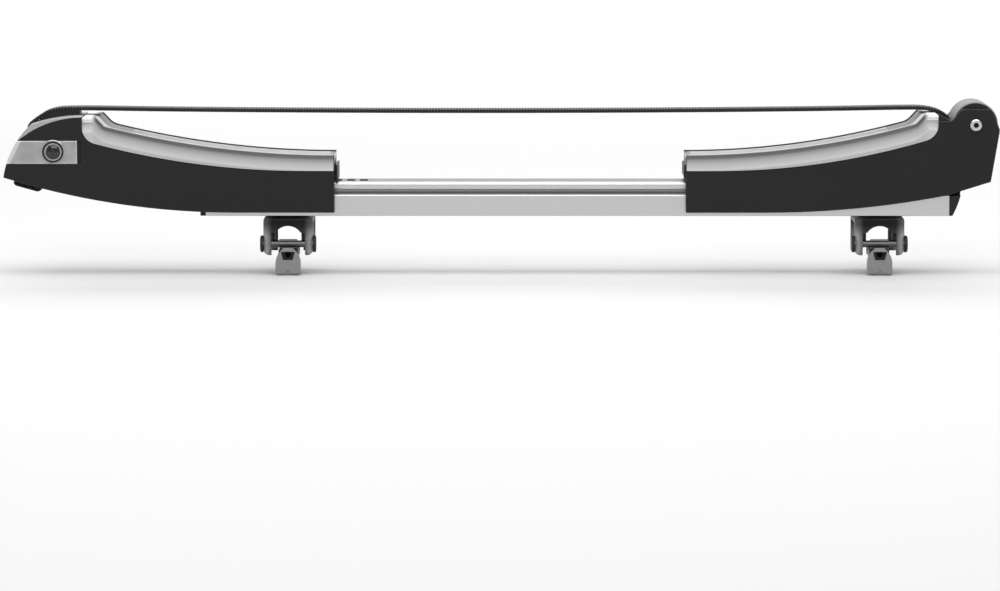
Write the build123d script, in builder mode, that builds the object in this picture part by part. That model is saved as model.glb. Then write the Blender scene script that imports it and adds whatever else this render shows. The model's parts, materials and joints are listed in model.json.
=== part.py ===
from build123d import *
import os
from dataclasses import dataclass
from math import asin, cos, degrees, radians, sin, sqrt

os.makedirs("parts", exist_ok=True)

# Board carrier bar for a roof crossbar. X runs along the rail, Z is up, and the origin lies on the
# crossbar's top face, midway between the two clamp feet. Sizes are in millimetres.

# Fits
SEAM = 0.2  # gap between fixed panels
RUN = 0.4  # gap between pieces that slide or turn on each other
PIN_FIT = 0.05  # radial clearance of a pin in its bore

# Clamp feet
FOOT_SPACING = 593.6
SADDLE_DECK = 9.0
SADDLE_WIDTH = 50.0
SADDLE_DROP = 31.0
SADDLE_CORNER = 6.0
FORK_INSIDE = 34.0
FORK_NEAR_Y = -27.0
FORK_DEPTH = 10.0
HOOK_INSIDE = 26.0
HOOK_FAR_Y = 34.0
HOOK_DEPTH = 7.0
HOOK_LIP = 5.0
ARCH_WIDTH = 25.2
ARCH_SHOULDER = 8.0
ARCH_TOP = -1.2
FORK_ROUND = 5.0
CHEEK_DEPTH = 3.5
CHEEK_DROP = 20.0
SEAT_PAD = 1.5
ROD_RADIUS = 3.5
ROD_DROP = 19.5
PIN_CAP_RADIUS = 8.5
PIN_CAP_HEIGHT = 3.0
LINK_WIDTH = 25.0
LINK_NECK_WIDTH = 18.0
LINK_DEPTH = 11.0
LINK_DROP = 49.0
LINK_BARREL_RADIUS = 4.8
JAW_DROP = 6.7
TONGUE_WIDTH = 20.0
TONGUE_THICK = 7.0
CROSSBAR_HEIGHT = 24.0
FOOT_BOLT_RADIUS = 4.0
NUT_RADIUS = 7.4
NUT_HEIGHT = 5.0
NUT_SEAT = 6.0
TEE_HEAD_GAP = 1.0
TEE_HEAD_HEIGHT = 5.0
LINK_NOTCH = 3.0
LINK_SHOULDER = 16.0
LINK_EDGE = 1.0
POCKET_TOP = 14.0
POCKET_FOOT = 10.0
POCKET_LEVEL = -26.5
POCKET_HEIGHT = 8.5
POCKET_DEPTH = 6.0
JAW_BOLT_RADIUS = 2.0
JAW_BOLT_HEAD = 3.0
JAW_BOLT_LENGTH = 12.0

# Rail
RAIL_LEFT = -379.0
RAIL_RIGHT = 366.0
RAIL_WIDTH = 56.0
RAIL_BOX_HEIGHT = 21.5
RAIL_NECK_WIDTH = 38.0
RAIL_NECK_HEIGHT = 4.5
RAIL_TOP_WIDTH = 44.0
RAIL_TOP_HEIGHT = 8.0
RAIL_TOP_CORNER = 3.0
RAIL_CORNER = 1.2
RAIL_WALL = 2.5
TEE_SLOT_MOUTH = 10.0
TEE_SLOT_WIDTH = 19.0
TEE_SLOT_HEIGHT = 6.5
LATCH_SLOTS = 7
LATCH_PITCH = 13.0
LATCH_SLOT_LENGTH = 8.0
LATCH_SLOT_WIDTH = 17.0
LATCH_LAST_SLOT = -221.2
CAP_FLANGE = 5.5
CAP_PLUG = 12.0
CAP_TOE = 3.2
CAP_BULGE = 9.3
CAP_CURVE = 86.0

# Arms
ARM_WIDTH = 72.0
PLATE = 3.5
ARM_GROUND = 4.0  # height of the arm's underside above the rail's underside
LEFT_INNER = -250.0
RIGHT_INNER = 102.0
DECK = 5.0
LATCH_SPACE = 7.0
RIB = 2.5
END_WALL = 3.0
ARM_EDGE = 0.8
SLIDE_IN = 52.0  # the left arm's travel towards the middle
LEFT_BAY = 30.0
RIGHT_BLOCK = 32.0
INNER_GLIDE = (8.0, 38.0)
OUTER_GLIDE = (66.0, 92.0)

# Pads
PAD_LENGTH = 252.0
PAD_DEPTH = 16.0
PAD_FLARE = 0.6  # how far the pad's foot stands out from the side plates
PAD_LIP_INSET = 1.4
PAD_LIP = 3.2
PAD_COVE_INSET = 3.6
PAD_COVE_DROP = 5.6
PAD_COVE_SLACK = 0.5
SEAT_FLAT = 30.0
SEAT_CORNER = 17.0
PAD_CREST = 31.0  # from the crown's end to the pad's outer end
RAMP_FILLET = 16.0
RAMP_ANGLE = 47.0
MAT_RECESS = 1.5
MAT_THICK = 2.5
PAD_RIM = 2.6
BLOCK_CORNER = 3.0

# Nose of the left arm
NOSE_LENGTH = 79.0
NOSE_FRONT_RADIUS = 88.0
NOSE_BROW_U = 51.0
NOSE_BROW_DROP = 8.1
NOSE_BROW_RADIUS = 165.0
NOSE_EDGE_RADIUS = 100.0
NOSE_EDGE_DROP = 1.2
COVER_EDGE = 0.6
BUTTON_TOP = 85.0
BUTTON_HEIGHT = 23.0
BUTTON_REACH = 5.0  # distance from the pad to the button's free ends
BUTTON_WALL = 2.4
BUTTON_FRONT = 3.0
BUTTON_TRAVEL = 5.0
BUTTON_PROUD = 1.0
BUTTON_EDGE = 0.7
LOCK_U = 29.0
LOCK_RAISE = 0.5
LOCK_RADIUS = 10.8
LOCK_BEZEL_RADIUS = 12.0
LOCK_BEZEL = 0.8
LOCK_DEPTH = 19.0
PLUG_RADIUS = 7.0
PLUG_COLLAR_RADIUS = 8.4
KEYWAY_LENGTH = 8.0
KEYWAY_WIDTH = 1.6
KEYWAY_DEPTH = 5.0
TAIL_LENGTH = 17.0
TAIL_WIDTH = 6.0
TAIL_THICK = 2.5

# Strap
STRAP_WIDTH = 26.0
STRAP_THICK = 3.0
STRAP_U = 55.0  # the strap's upright run inside the nose, from the pad
STRAP_RISE_LEFT = 6.3  # middle of the strap above the pad blocks
STRAP_RISE_RIGHT = 4.8
STRAP_SAG = 2.7
STRAP_TURN = 8.0
STRAP_BEND = 51.0
STRAP_BEND_ANGLE = 45.0
STRAP_JOIN = 4.0  # where the free span starts, beyond the pad's outer end
STRAP_SLOT_GAP = 1.2
GUIDE_WIDTH = 24.0
CAM_RADIUS = 10.0
CAM_OFFSET = 4.2
CAM_PIN_RADIUS = 3.0
CAM_HEIGHT = 56.0
CAM_WIDTH = 25.0
TAIL_LOOP_LENGTH = 27.0
TAIL_LOOP_DROP = 6.0
TAIL_LOOP_SLIT = 0.8
STRAP_SLOPE = 4.5  # length along X of the strap's sloping run, before it turns down
STRAP_DIP_ANGLE = 22.0
CAM_TEETH = 7
CAM_TOOTH = 0.6
CAM_TOOTH_ARC = 70.0
SPRING_WIRE = 0.6
SPRING_RADIUS = 2.6
CAM_SPRING_LENGTH = 7.0

# Width latch
LATCH_REACH = 85.0  # from the latch's pin to the thumb tab
LATCH_WIDTH = 16.0
LATCH_BAR = 3.0
LATCH_TOOTH_LENGTH = 7.0
LATCH_TOOTH_BITE = 1.8
LATCH_TAB_HEIGHT = 13.0
LATCH_TAB = 2.0
LATCH_PIN_RADIUS = 2.0
LATCH_BARREL = 3.4
LATCH_TAB_GAP = 1.3
LATCH_REST_SLOT = 4
LATCH_LIFT = 4.0  # height of the latch's pin above the rail
LATCH_ROOF = 2.0
LATCH_EAR = 5.0
TAB_GROUND = 4.5

# Roller end of the right arm
ROLLER_SET = 24.2  # from the tower's outer end to the roller's axis
ROLLER_HEIGHT = 101.0
ROLLER_RADIUS = 22.8
ROLLER_LENGTH = 61.0
ROLLER_CORE_RADIUS = 17.0
ROLLER_GROOVES = 9
ROLLER_GROOVE = 1.2
AXLE_RADIUS = 4.0
AXLE_HEAD_RADIUS = 5.8
AXLE_HEAD = 3.0
HEX_SOCKET = 5.0
HEX_DEPTH = 2.6
BUSH_RADIUS = 8.0
BUSH_GAP = 0.5
BUSH_LENGTH = 9.0
ROLLER_FLANGE = 3.0
AXLE_NUT = 5.0
TOWER_CAP = 16.0  # the tower's top above the roller's axis
TOWER_REACH = 61.5  # the tower's outer end beyond the pad
TOWER_STEP = 12.0
TOWER_FOOT_HEIGHT = 44.0
TOWER_LEAN = 8.7
TOWER_BELLY = 5.0
TOWER_CREST = 38.5
TOWER_SLOPE = 9.5
TOWER_CORNER = 6.0
HEEL_REACH = 9.5
ROLLER_GAP = 2.0
ANCHOR_RADIUS = 4.0
ANCHOR_HEIGHT = 84.0

# Screws in the far plates, and bolts that hold the right arm to the rail
ARM_BOLT_U = 15.0
ARM_BOLT_Y = 11.0
SCREW_RADIUS = 2.5
SCREW_HEAD_RADIUS = 4.5
SCREW_HEAD = 2.4
SCREW_LENGTH = 6.5
SCREW_CLEAR = 1.5
SCREW_INNER = 22.0  # the screws' distances from the pad's two ends
SCREW_OUTER = 30.0
SCREW_NOSE = 10.0
SCREW_LOW = 47.0  # their heights
SCREW_HIGH = 60.0
SCREW_NOSE_HEIGHT = 90.0

HALF = ARM_WIDTH / 2
INSIDE = HALF - PLATE
RAIL_BASE = SADDLE_DECK
RAIL_LEDGE = RAIL_BASE + RAIL_BOX_HEIGHT
RAIL_SHOULDER = RAIL_LEDGE + RAIL_NECK_HEIGHT
RAIL_TOP = RAIL_SHOULDER + RAIL_TOP_HEIGHT
ARM_BASE = RAIL_BASE + ARM_GROUND
PAD_FOOT = RAIL_TOP + LATCH_SPACE + DECK
PAD_TOP = PAD_FOOT + PAD_DEPTH
HIGH = 2 * ROLLER_HEIGHT
CROWN_RUN = PAD_LENGTH - PAD_CREST
TOWER_END = PAD_LENGTH + TOWER_REACH
TOWER_TOP = ROLLER_HEIGHT + TOWER_CAP
TOWER_WAIST = TOWER_TOP - TOWER_STEP


def arc_radius(run, rise):
    """Radius of an arc that starts level and climbs to a rise over a run."""
    return (run**2 + rise**2) / (2 * rise)


@dataclass
class Arm:
    """One arm of the carrier; distances along it are counted outwards from its inner end."""

    side: int
    inner: float
    base_flat: float
    base_rise: float
    seat_rise: float
    crown_rise: float
    block_rise: float

    def x(self, along):
        return self.inner + self.side * along

    @property
    def outer(self):
        return self.x(PAD_LENGTH)

    @property
    def block_top(self):
        return PAD_TOP + self.block_rise

    @property
    def base_radius(self):
        return arc_radius(PAD_LENGTH - self.base_flat, self.base_rise)

    @property
    def seat_radius(self):
        return arc_radius(PAD_LENGTH - SEAT_FLAT, self.seat_rise)

    @property
    def crown_radius(self):
        return arc_radius(CROWN_RUN, self.crown_rise)


LEFT = Arm(-1, LEFT_INNER, 100.0, 15.0, 30.6, 26.6, 38.5)
RIGHT = Arm(1, RIGHT_INNER, 80.0, 15.7, 34.3, 29.2, 41.0)


def save(piece, name):
    """Label a finished piece and write it to its own file."""
    piece.part.label = name
    export_step(piece.part, f"parts/{name}.step")


def slab(outline, near_y, far_y, mode=Mode.ADD):
    """Extrude an outline drawn in X and Z from one Y plane to another, in the part being built."""
    with BuildSketch(Plane.XZ.offset(-near_y)) as face:
        add(outline)
    extrude(face.sketch, amount=near_y - far_y, mode=mode)


def block(low, high, mode=Mode.ADD):
    """A box between two corners, in the part being built."""
    size = [b - a for a, b in zip(low, high)]
    with Locations(tuple((a + b) / 2 for a, b in zip(low, high))):
        Box(*size, mode=mode)


def bar_y(x, z, radius, near_y, far_y, mode=Mode.ADD):
    """A round bar along Y, in the part being built."""
    with BuildSketch(Plane.XZ.offset(-near_y)) as face:
        with Locations((x, z)):
            Circle(radius)
    extrude(face.sketch, amount=near_y - far_y, mode=mode)


def bar_x(y, z, radius, low_x, high_x, mode=Mode.ADD):
    """A round bar along X, in the part being built."""
    with BuildSketch(Plane.YZ.offset(low_x)) as face:
        with Locations((y, z)):
            Circle(radius)
    extrude(face.sketch, amount=high_x - low_x, mode=mode)


def bar_z(x, y, radius, low_z, high_z, mode=Mode.ADD):
    """A round bar along Z, in the part being built."""
    with BuildSketch(Plane.XY.offset(low_z)) as face:
        with Locations((x, y)):
            Circle(radius)
    extrude(face.sketch, amount=high_z - low_z, mode=mode)


# Outlines of the arms, drawn in X and Z


def seat_zone(arm, seam=0.0):
    """Everything above the line on which the pad sits."""
    radius = arm.seat_radius + seam
    end = PAD_LENGTH + seam
    sweep_angle = degrees(asin((end - SEAT_FLAT) / radius))
    with BuildSketch() as zone:
        with BuildLine():
            flat = Line((arm.x(-end), PAD_FOOT - seam), (arm.x(SEAT_FLAT), PAD_FOOT - seam))
            rise = JernArc(flat @ 1, (arm.side, 0), radius, arm.side * sweep_angle)
            Polyline(rise @ 1, (arm.x(end), HIGH), (arm.x(-end), HIGH), flat @ 0)
        make_face()
        ends = zone.vertices().group_by(Axis.X)[0 if arm.side < 0 else -1]
        fillet(ends.sort_by(Axis.Y)[0], SEAT_CORNER + seam)
    return zone.sketch_local


def crown_edges(arm):
    """Draw the pad's top line up to its end block, in the line being built, and return its end."""
    turn = degrees(asin(CROWN_RUN / arm.crown_radius))
    low, steep = radians(turn), radians(RAMP_ANGLE)
    fillet_rise = RAMP_FILLET * (cos(low) - cos(steep))
    ramp = (arm.block_rise - arm.crown_rise - fillet_rise) / sin(steep)
    crown = JernArc((arm.inner, PAD_TOP), (arm.side, 0), arm.crown_radius, arm.side * turn)
    bend = JernArc(crown @ 1, crown % 1, RAMP_FILLET, arm.side * (RAMP_ANGLE - turn))
    return Line(bend @ 1, bend @ 1 + (bend % 1) * ramp) @ 1


def pad_outline(arm):
    """The pad seen from the side, with its end block."""
    with BuildSketch() as outline:
        with BuildLine():
            corner = crown_edges(arm)
            Polyline(
                corner,
                (arm.outer, arm.block_top),
                (arm.outer, ARM_BASE),
                (arm.inner, ARM_BASE),
                (arm.inner, PAD_TOP),
            )
        make_face()
        for spot in (corner, (arm.outer, arm.block_top)):
            fillet(outline.vertices().sort_by_distance(spot)[0], BLOCK_CORNER)
        add(seat_zone(arm), mode=Mode.INTERSECT)
    return outline.sketch_local


def base_edges(arm, end):
    """Draw the arm's underside from its inner end outwards, in the line being built."""
    turn = degrees(asin((end - arm.base_flat) / arm.base_radius))
    flat = Line((arm.inner, ARM_BASE), (arm.x(arm.base_flat), ARM_BASE))
    return JernArc(flat @ 1, (arm.side, 0), arm.base_radius, arm.side * turn) @ 1


def left_silhouette():
    """The left arm with its nose, closed above by a line over the pad's seat."""
    brow = (LEFT.x(PAD_LENGTH + NOSE_BROW_U), LEFT.block_top - NOSE_BROW_DROP)
    with BuildSketch() as outline:
        with BuildLine():
            tip = base_edges(LEFT, PAD_LENGTH + NOSE_LENGTH)
            RadiusArc(tip, brow, NOSE_FRONT_RADIUS)
            RadiusArc(brow, (LEFT.outer, LEFT.block_top), NOSE_BROW_RADIUS)
            Polyline(
                (LEFT.outer, LEFT.block_top),
                (LEFT.inner, LEFT.block_top),
                (LEFT.inner, ARM_BASE),
            )
        make_face()
    return outline.sketch_local


def cover_zone(seam=0.0):
    """The space above the left plates' curved top edge, ahead of the pad."""
    radius = NOSE_EDGE_RADIUS + seam
    centre = LEFT.block_top - NOSE_EDGE_DROP - NOSE_EDGE_RADIUS
    with BuildSketch() as zone:
        with BuildLine():
            Polyline(
                (LEFT.outer, BUTTON_TOP),
                (LEFT.x(PAD_LENGTH + 2 * NOSE_LENGTH), BUTTON_TOP),
                (LEFT.x(PAD_LENGTH + 2 * NOSE_LENGTH), HIGH),
                (LEFT.outer, HIGH),
                close=True,
            )
        make_face()
        with Locations((LEFT.outer, centre)):
            Circle(radius, mode=Mode.SUBTRACT)
    return zone.sketch_local


def band_zone(gap=0.0):
    """The height taken by the release button on the nose."""
    with BuildSketch() as zone:
        with BuildLine():
            Polyline(
                (LEFT.x(PAD_LENGTH + BUTTON_REACH) + gap, BUTTON_TOP - BUTTON_HEIGHT - gap),
                (LEFT.x(PAD_LENGTH + BUTTON_REACH) + gap, BUTTON_TOP + gap),
                (LEFT.x(PAD_LENGTH + 2 * NOSE_LENGTH), BUTTON_TOP + gap),
                (LEFT.x(PAD_LENGTH + 2 * NOSE_LENGTH), BUTTON_TOP - BUTTON_HEIGHT - gap),
                close=True,
            )
        make_face()
    return zone.sketch_local


def front_gap(depth):
    """The part of the button's band that lies within a depth of the nose's front."""
    with BuildSketch() as zone:
        add(band_zone(RUN))
        add(Pos(depth, 0) * left_silhouette(), mode=Mode.SUBTRACT)
    return zone.sketch_local


NOSE_SHAPE = left_silhouette()
BUTTON_CLEAR = front_gap(BUTTON_FRONT + BUTTON_TRAVEL + RUN)


def left_plate_outline():
    """The left side plate: the silhouette less the pad, the cover and the button's front."""
    with BuildSketch() as outline:
        add(NOSE_SHAPE)
        add(seat_zone(LEFT, SEAM), mode=Mode.SUBTRACT)
        add(cover_zone(), mode=Mode.SUBTRACT)
        add(BUTTON_CLEAR, mode=Mode.SUBTRACT)
    return outline.sketch_local


def right_plate_outline():
    """The right side plate with the tower that carries the roller."""
    waist = (RIGHT.x(TOWER_END - TOWER_CREST - TOWER_SLOPE), TOWER_WAIST)
    with BuildSketch() as outline:
        with BuildLine():
            heel = base_edges(RIGHT, PAD_LENGTH + HEEL_REACH)
            Polyline(
                heel,
                (RIGHT.x(TOWER_END - TOWER_LEAN), TOWER_FOOT_HEIGHT),
                (RIGHT.x(TOWER_END), ROLLER_HEIGHT - TOWER_BELLY),
                (RIGHT.x(TOWER_END - TOWER_LEAN), TOWER_TOP),
                (RIGHT.x(TOWER_END - TOWER_CREST), TOWER_TOP),
                waist,
                (RIGHT.inner, TOWER_WAIST),
                (RIGHT.inner, ARM_BASE),
            )
        make_face()
        fillet(outline.vertices().group_by(Axis.X)[-1], TOWER_CORNER)
        fillet(outline.vertices().group_by(Axis.Y)[-1], TOWER_CORNER)
        fillet(outline.vertices().sort_by_distance(waist)[0], TOWER_CORNER)
        add(seat_zone(RIGHT, SEAM), mode=Mode.SUBTRACT)
    return outline.sketch_local


LEFT_PLATE = left_plate_outline()
RIGHT_PLATE = right_plate_outline()
ROLLER_X = RIGHT.x(TOWER_END - ROLLER_SET)
LOCK_X = LEFT.x(PAD_LENGTH + LOCK_U)
LOCK_Z = BUTTON_TOP - BUTTON_HEIGHT / 2 + LOCK_RAISE
BUTTON_OUT = HALF + BUTTON_PROUD
STRAP_X = LEFT.x(PAD_LENGTH + STRAP_U)
STRAP_LEFT_Z = LEFT.block_top + STRAP_RISE_LEFT
STRAP_RIGHT_Z = RIGHT.block_top + STRAP_RISE_RIGHT
CHANNEL = RAIL_WIDTH / 2 + RUN
CAM_X = STRAP_X + STRAP_THICK / 2 + RUN + CAM_OFFSET + CAM_RADIUS
ANCHOR_X = ROLLER_X - ROLLER_RADIUS - RUN - STRAP_THICK - ANCHOR_RADIUS


# Rail: an extruded box with a narrower bar on a neck, a tee slot below and latch slots on top


def rail_profile(shrink=0.0):
    """The rail's outer section, in Y and Z."""
    with BuildSketch() as section:
        with Locations((0, RAIL_BASE + RAIL_BOX_HEIGHT / 2)):
            RectangleRounded(RAIL_WIDTH - 2 * shrink, RAIL_BOX_HEIGHT - 2 * shrink, RAIL_CORNER)
        with Locations((0, RAIL_LEDGE + RAIL_NECK_HEIGHT / 2)):
            Rectangle(RAIL_NECK_WIDTH - 2 * shrink, RAIL_NECK_HEIGHT + 2 * RAIL_WALL)
        with Locations((0, RAIL_TOP - RAIL_TOP_HEIGHT / 2)):
            RectangleRounded(RAIL_TOP_WIDTH - 2 * shrink, RAIL_TOP_HEIGHT - 2 * shrink, RAIL_TOP_CORNER)
    return section.sketch_local


def side_chambers(shrink=0.0):
    """The two hollow chambers beside the tee slot, in Y and Z."""
    inner = TEE_SLOT_WIDTH / 2 + RAIL_WALL
    outer = RAIL_WIDTH / 2 - RAIL_WALL
    with BuildSketch() as chambers:
        with GridLocations(inner + outer, 1, 2, 1):
            with Locations((0, RAIL_BASE + RAIL_BOX_HEIGHT / 2)):
                Rectangle(outer - inner - 2 * shrink, RAIL_BOX_HEIGHT - 2 * RAIL_WALL - 2 * shrink)
    return chambers.sketch_local


with BuildPart() as rail:
    with BuildSketch(Plane.YZ.offset(RAIL_LEFT)):
        add(rail_profile())
        with Locations((0, RAIL_BASE)):
            Rectangle(TEE_SLOT_MOUTH, 3 * RAIL_WALL, mode=Mode.SUBTRACT)
        with Locations((0, RAIL_BASE + RAIL_WALL + TEE_SLOT_HEIGHT / 2)):
            Rectangle(TEE_SLOT_WIDTH, TEE_SLOT_HEIGHT, mode=Mode.SUBTRACT)
        add(side_chambers(), mode=Mode.SUBTRACT)
        roof = RAIL_BASE + 2 * RAIL_WALL + TEE_SLOT_HEIGHT
        with Locations((0, (roof + RAIL_LEDGE - RAIL_WALL) / 2)):
            Rectangle(TEE_SLOT_WIDTH, RAIL_LEDGE - RAIL_WALL - roof, mode=Mode.SUBTRACT)
        with Locations((0, (RAIL_LEDGE + RAIL_TOP - RAIL_WALL) / 2)):
            Rectangle(RAIL_NECK_WIDTH - 2 * RAIL_WALL, RAIL_TOP - RAIL_WALL - RAIL_LEDGE, mode=Mode.SUBTRACT)
    extrude(amount=RAIL_RIGHT - RAIL_LEFT)
    slots_middle = LATCH_LAST_SLOT - LATCH_PITCH * (LATCH_SLOTS - 1) / 2
    with Locations((slots_middle, 0, RAIL_TOP)):
        with GridLocations(LATCH_PITCH, 1, LATCH_SLOTS, 1):
            Box(LATCH_SLOT_LENGTH, LATCH_SLOT_WIDTH, 3 * RAIL_WALL, mode=Mode.SUBTRACT)
    for across in (-ARM_BOLT_Y, ARM_BOLT_Y):
        bar_z(RIGHT.x(ARM_BOLT_U), across, SCREW_RADIUS + PIN_FIT, RAIL_SHOULDER, HIGH, Mode.SUBTRACT)
save(rail, "rail")

with BuildPart() as rail_cap_left:
    with BuildSketch(Plane.YZ.offset(RAIL_LEFT)):
        add(rail_profile(SEAM))
    extrude(amount=-CAP_FLANGE)
    with BuildSketch(Plane.YZ.offset(RAIL_LEFT)):
        add(side_chambers(SEAM))
    extrude(amount=CAP_PLUG)
save(rail_cap_left, "rail_cap_left")

with BuildPart() as rail_cap_right:
    with BuildSketch(Plane.YZ.offset(RAIL_RIGHT)):
        add(rail_profile(SEAM))
    extrude(amount=CAP_TOE + CAP_BULGE)
    with BuildSketch() as cap_side:
        with BuildLine():
            foot_edge = (RAIL_RIGHT + CAP_TOE, RAIL_BASE)
            crest = (RAIL_RIGHT + CAP_TOE + CAP_BULGE, RAIL_SHOULDER)
            RadiusArc(foot_edge, crest, -CAP_CURVE)
            back = [(crest[0], HIGH), (RAIL_RIGHT, HIGH), (RAIL_RIGHT, 0), (foot_edge[0], 0)]
            Polyline(crest, *back, foot_edge)
        make_face()
    slab(cap_side.sketch_local, -HALF, HALF, Mode.INTERSECT)
    with BuildSketch(Plane.YZ.offset(RAIL_RIGHT)) as plugs:
        add(side_chambers(SEAM))
    extrude(plugs.sketch, amount=-CAP_PLUG)
save(rail_cap_right, "rail_cap_right")


# Pads: a moulded shell with a lip and a cove along each side, and a grip mat let into its top


def crown_path(arm):
    """The pad's top line in the middle plane of the carrier, up to its end block."""
    with BuildLine() as line:
        crown_edges(arm)
    return Plane.XZ * line.wire()


def crown_plane(arm, x, z):
    """A plane across the pad at a point of its top line, with its second axis up."""
    return Plane(origin=(x, 0, z), x_dir=(0, arm.side, 0), z_dir=(arm.side, 0, 0))


def cove_section():
    """The space beside the pad under its lip, drawn across the pad from its top line down."""
    foot = HALF + PAD_FLARE
    cove = HALF - PAD_COVE_INSET
    lip = HALF - PAD_LIP_INSET
    with BuildSketch() as section:
        with BuildLine():
            edge = Line((lip, PAD_LIP), (lip, -PAD_LIP))
            bottom = (cove + PAD_COVE_SLACK, -(PAD_LIP + PAD_COVE_DROP) / 2)
            hollow = ThreePointArc(edge @ 1, bottom, (cove, -PAD_COVE_DROP))
            flare = TangentArc(hollow @ 1, (foot, -PAD_DEPTH), tangent=(0, -1))
            Polyline(flare @ 1, (foot + PAD_RIM, -PAD_DEPTH), (foot + PAD_RIM, PAD_LIP), edge @ 0)
        make_face()
        mirror(about=Plane.YZ)
    return section.sketch_local


def cove_cuts(arm):
    """The spaces beside the pad's crown and beside its end block, mitred where they meet."""
    path = crown_path(arm)
    corner = path @ 1
    half_turn = radians(RAMP_ANGLE / 2)
    mitre = Plane(origin=corner, z_dir=(arm.side * cos(half_turn), 0, sin(half_turn)))
    with BuildPart() as beside_crown:
        with BuildSketch(crown_plane(arm, arm.inner, PAD_TOP)) as crown_start:
            add(cove_section())
        sweep(crown_start.sketch, path=path)
        split(bisect_by=mitre, keep=Keep.BOTTOM)
    with BuildPart() as beside_block:
        with BuildSketch(crown_plane(arm, corner.X - arm.side * PAD_DEPTH, corner.Z)) as block_start:
            add(cove_section())
        extrude(block_start.sketch, amount=2 * PAD_DEPTH + PAD_CREST)
        split(bisect_by=mitre, keep=Keep.TOP)
    return beside_crown.part, beside_block.part


def pad(arm):
    """The pad with its coved sides and the recess for the mat."""
    foot = HALF + PAD_FLARE
    cuts = cove_cuts(arm)
    with BuildPart() as piece:
        slab(pad_outline(arm), -foot, foot)
        for cut in cuts:
            add(cut, mode=Mode.SUBTRACT)
        with BuildSketch(crown_plane(arm, arm.inner, PAD_TOP)) as recess:
            Rectangle(2 * (HALF - PAD_LIP_INSET - PAD_RIM), 2 * (MAT_RECESS + MAT_THICK))
        sweep(recess.sketch, path=crown_path(arm), mode=Mode.SUBTRACT)
    return piece


def grip_mat(arm):
    """The mat that fills the foot of the pad's recess."""
    with BuildPart() as piece:
        with BuildSketch(crown_plane(arm, arm.inner, PAD_TOP)) as section:
            with Locations((0, -MAT_RECESS - MAT_THICK / 2)):
                Rectangle(2 * (HALF - PAD_LIP_INSET - PAD_RIM - SEAM), MAT_THICK)
        sweep(section.sketch, path=crown_path(arm))
    return piece


for arm, name in ((LEFT, "left"), (RIGHT, "right")):
    save(pad(arm), f"{name}_pad")
    save(grip_mat(arm), f"{name}_grip_mat")


# Side plates, and the ribbed core that they close


def screw_places(arm):
    """Where the far plate's screws stand, in X and Z."""
    end = (PAD_LENGTH + SCREW_NOSE, SCREW_NOSE_HEIGHT)
    if arm is RIGHT:
        end = (TOWER_END - ROLLER_SET, SCREW_HIGH)
    row = [(SCREW_INNER, SCREW_LOW), (PAD_LENGTH / 2, SCREW_LOW), (PAD_LENGTH - SCREW_OUTER, SCREW_HIGH)]
    return [(arm.x(along), height) for along, height in [*row, end]]


def side_plate(arm, outline, near):
    """One side plate, with the seats of whatever passes through it."""
    inner_y, outer_y = (-INSIDE, -HALF) if near else (INSIDE, HALF)
    with BuildPart() as plate:
        slab(outline, min(inner_y, outer_y), max(inner_y, outer_y))
        face = plate.faces().sort_by(Axis.Y)[0 if near else -1]
        chamfer(face.edges(), ARM_EDGE)
        if arm is LEFT:
            floor = BUTTON_OUT - BUTTON_WALL - RUN
            recess = Pos(BUTTON_TRAVEL, 0) * band_zone(RUN)
            low, high = (-BUTTON_OUT, -floor) if near else (floor, BUTTON_OUT)
            slab(recess, low, high, Mode.SUBTRACT)
            if near:
                slab(lock_slot(), -HALF, -INSIDE, Mode.SUBTRACT)
        else:
            bar_y(ROLLER_X, ROLLER_HEIGHT, AXLE_RADIUS + PIN_FIT, -HALF, HALF, Mode.SUBTRACT)
        if not near:
            for x, z in screw_places(arm):
                bar_y(x, z, SCREW_RADIUS + PIN_FIT, INSIDE, HALF, Mode.SUBTRACT)
    return plate


def lock_slot():
    """The slot along which the lock travels with the release button."""
    with BuildSketch() as slot:
        with Locations((LOCK_X + BUTTON_TRAVEL / 2, LOCK_Z)):
            SlotCenterToCenter(BUTTON_TRAVEL, 2 * (LOCK_RADIUS + RUN))
    return slot.sketch_local


def hollows(arm, outline, spans):
    """The hollows under a core's deck, each between two distances along the arm."""
    with BuildSketch() as gaps:
        for start, end in spans:
            with Locations((arm.x((start + end) / 2), HIGH / 2)):
                Rectangle(end - start, HIGH)
        add(Pos(0, -DECK) * outline, mode=Mode.INTERSECT)
    return gaps.sketch_local


def runner_section(gap, wall):
    """The shape that fills the step of the rail on its far side and hooks under its top bar."""
    with BuildSketch() as section:
        low, high = RAIL_LEDGE + gap, RAIL_TOP + gap
        step = RAIL_TOP_WIDTH / 2 + gap
        with Locations(((step + wall) / 2, (low + high) / 2)):
            Rectangle(wall - step, high - low)
        groove = RAIL_NECK_WIDTH / 2 + gap
        with Locations(((groove + step) / 2, (low + RAIL_SHOULDER - gap) / 2)):
            Rectangle(step - groove, RAIL_SHOULDER - gap - low)
    return section.sketch_local


def runners(arm, gap, wall, start, end):
    """A pair of runners on the rail, between two distances along the arm."""
    low, high = sorted((arm.x(start), arm.x(end)))
    with BuildSketch(Plane.YZ.offset(low)) as section:
        add(runner_section(gap, wall))
        mirror(about=Plane.YZ)
    extrude(section.sketch, amount=high - low)


def rail_channel(arm, end, gap):
    """Cut the passage for the rail into a core, from its inner end."""
    low, high = sorted((arm.x(-END_WALL), arm.x(end)))
    half = RAIL_WIDTH / 2 + gap
    block((low, -half, -RAIL_BASE), (high, half, RAIL_TOP + gap), Mode.SUBTRACT)


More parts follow.
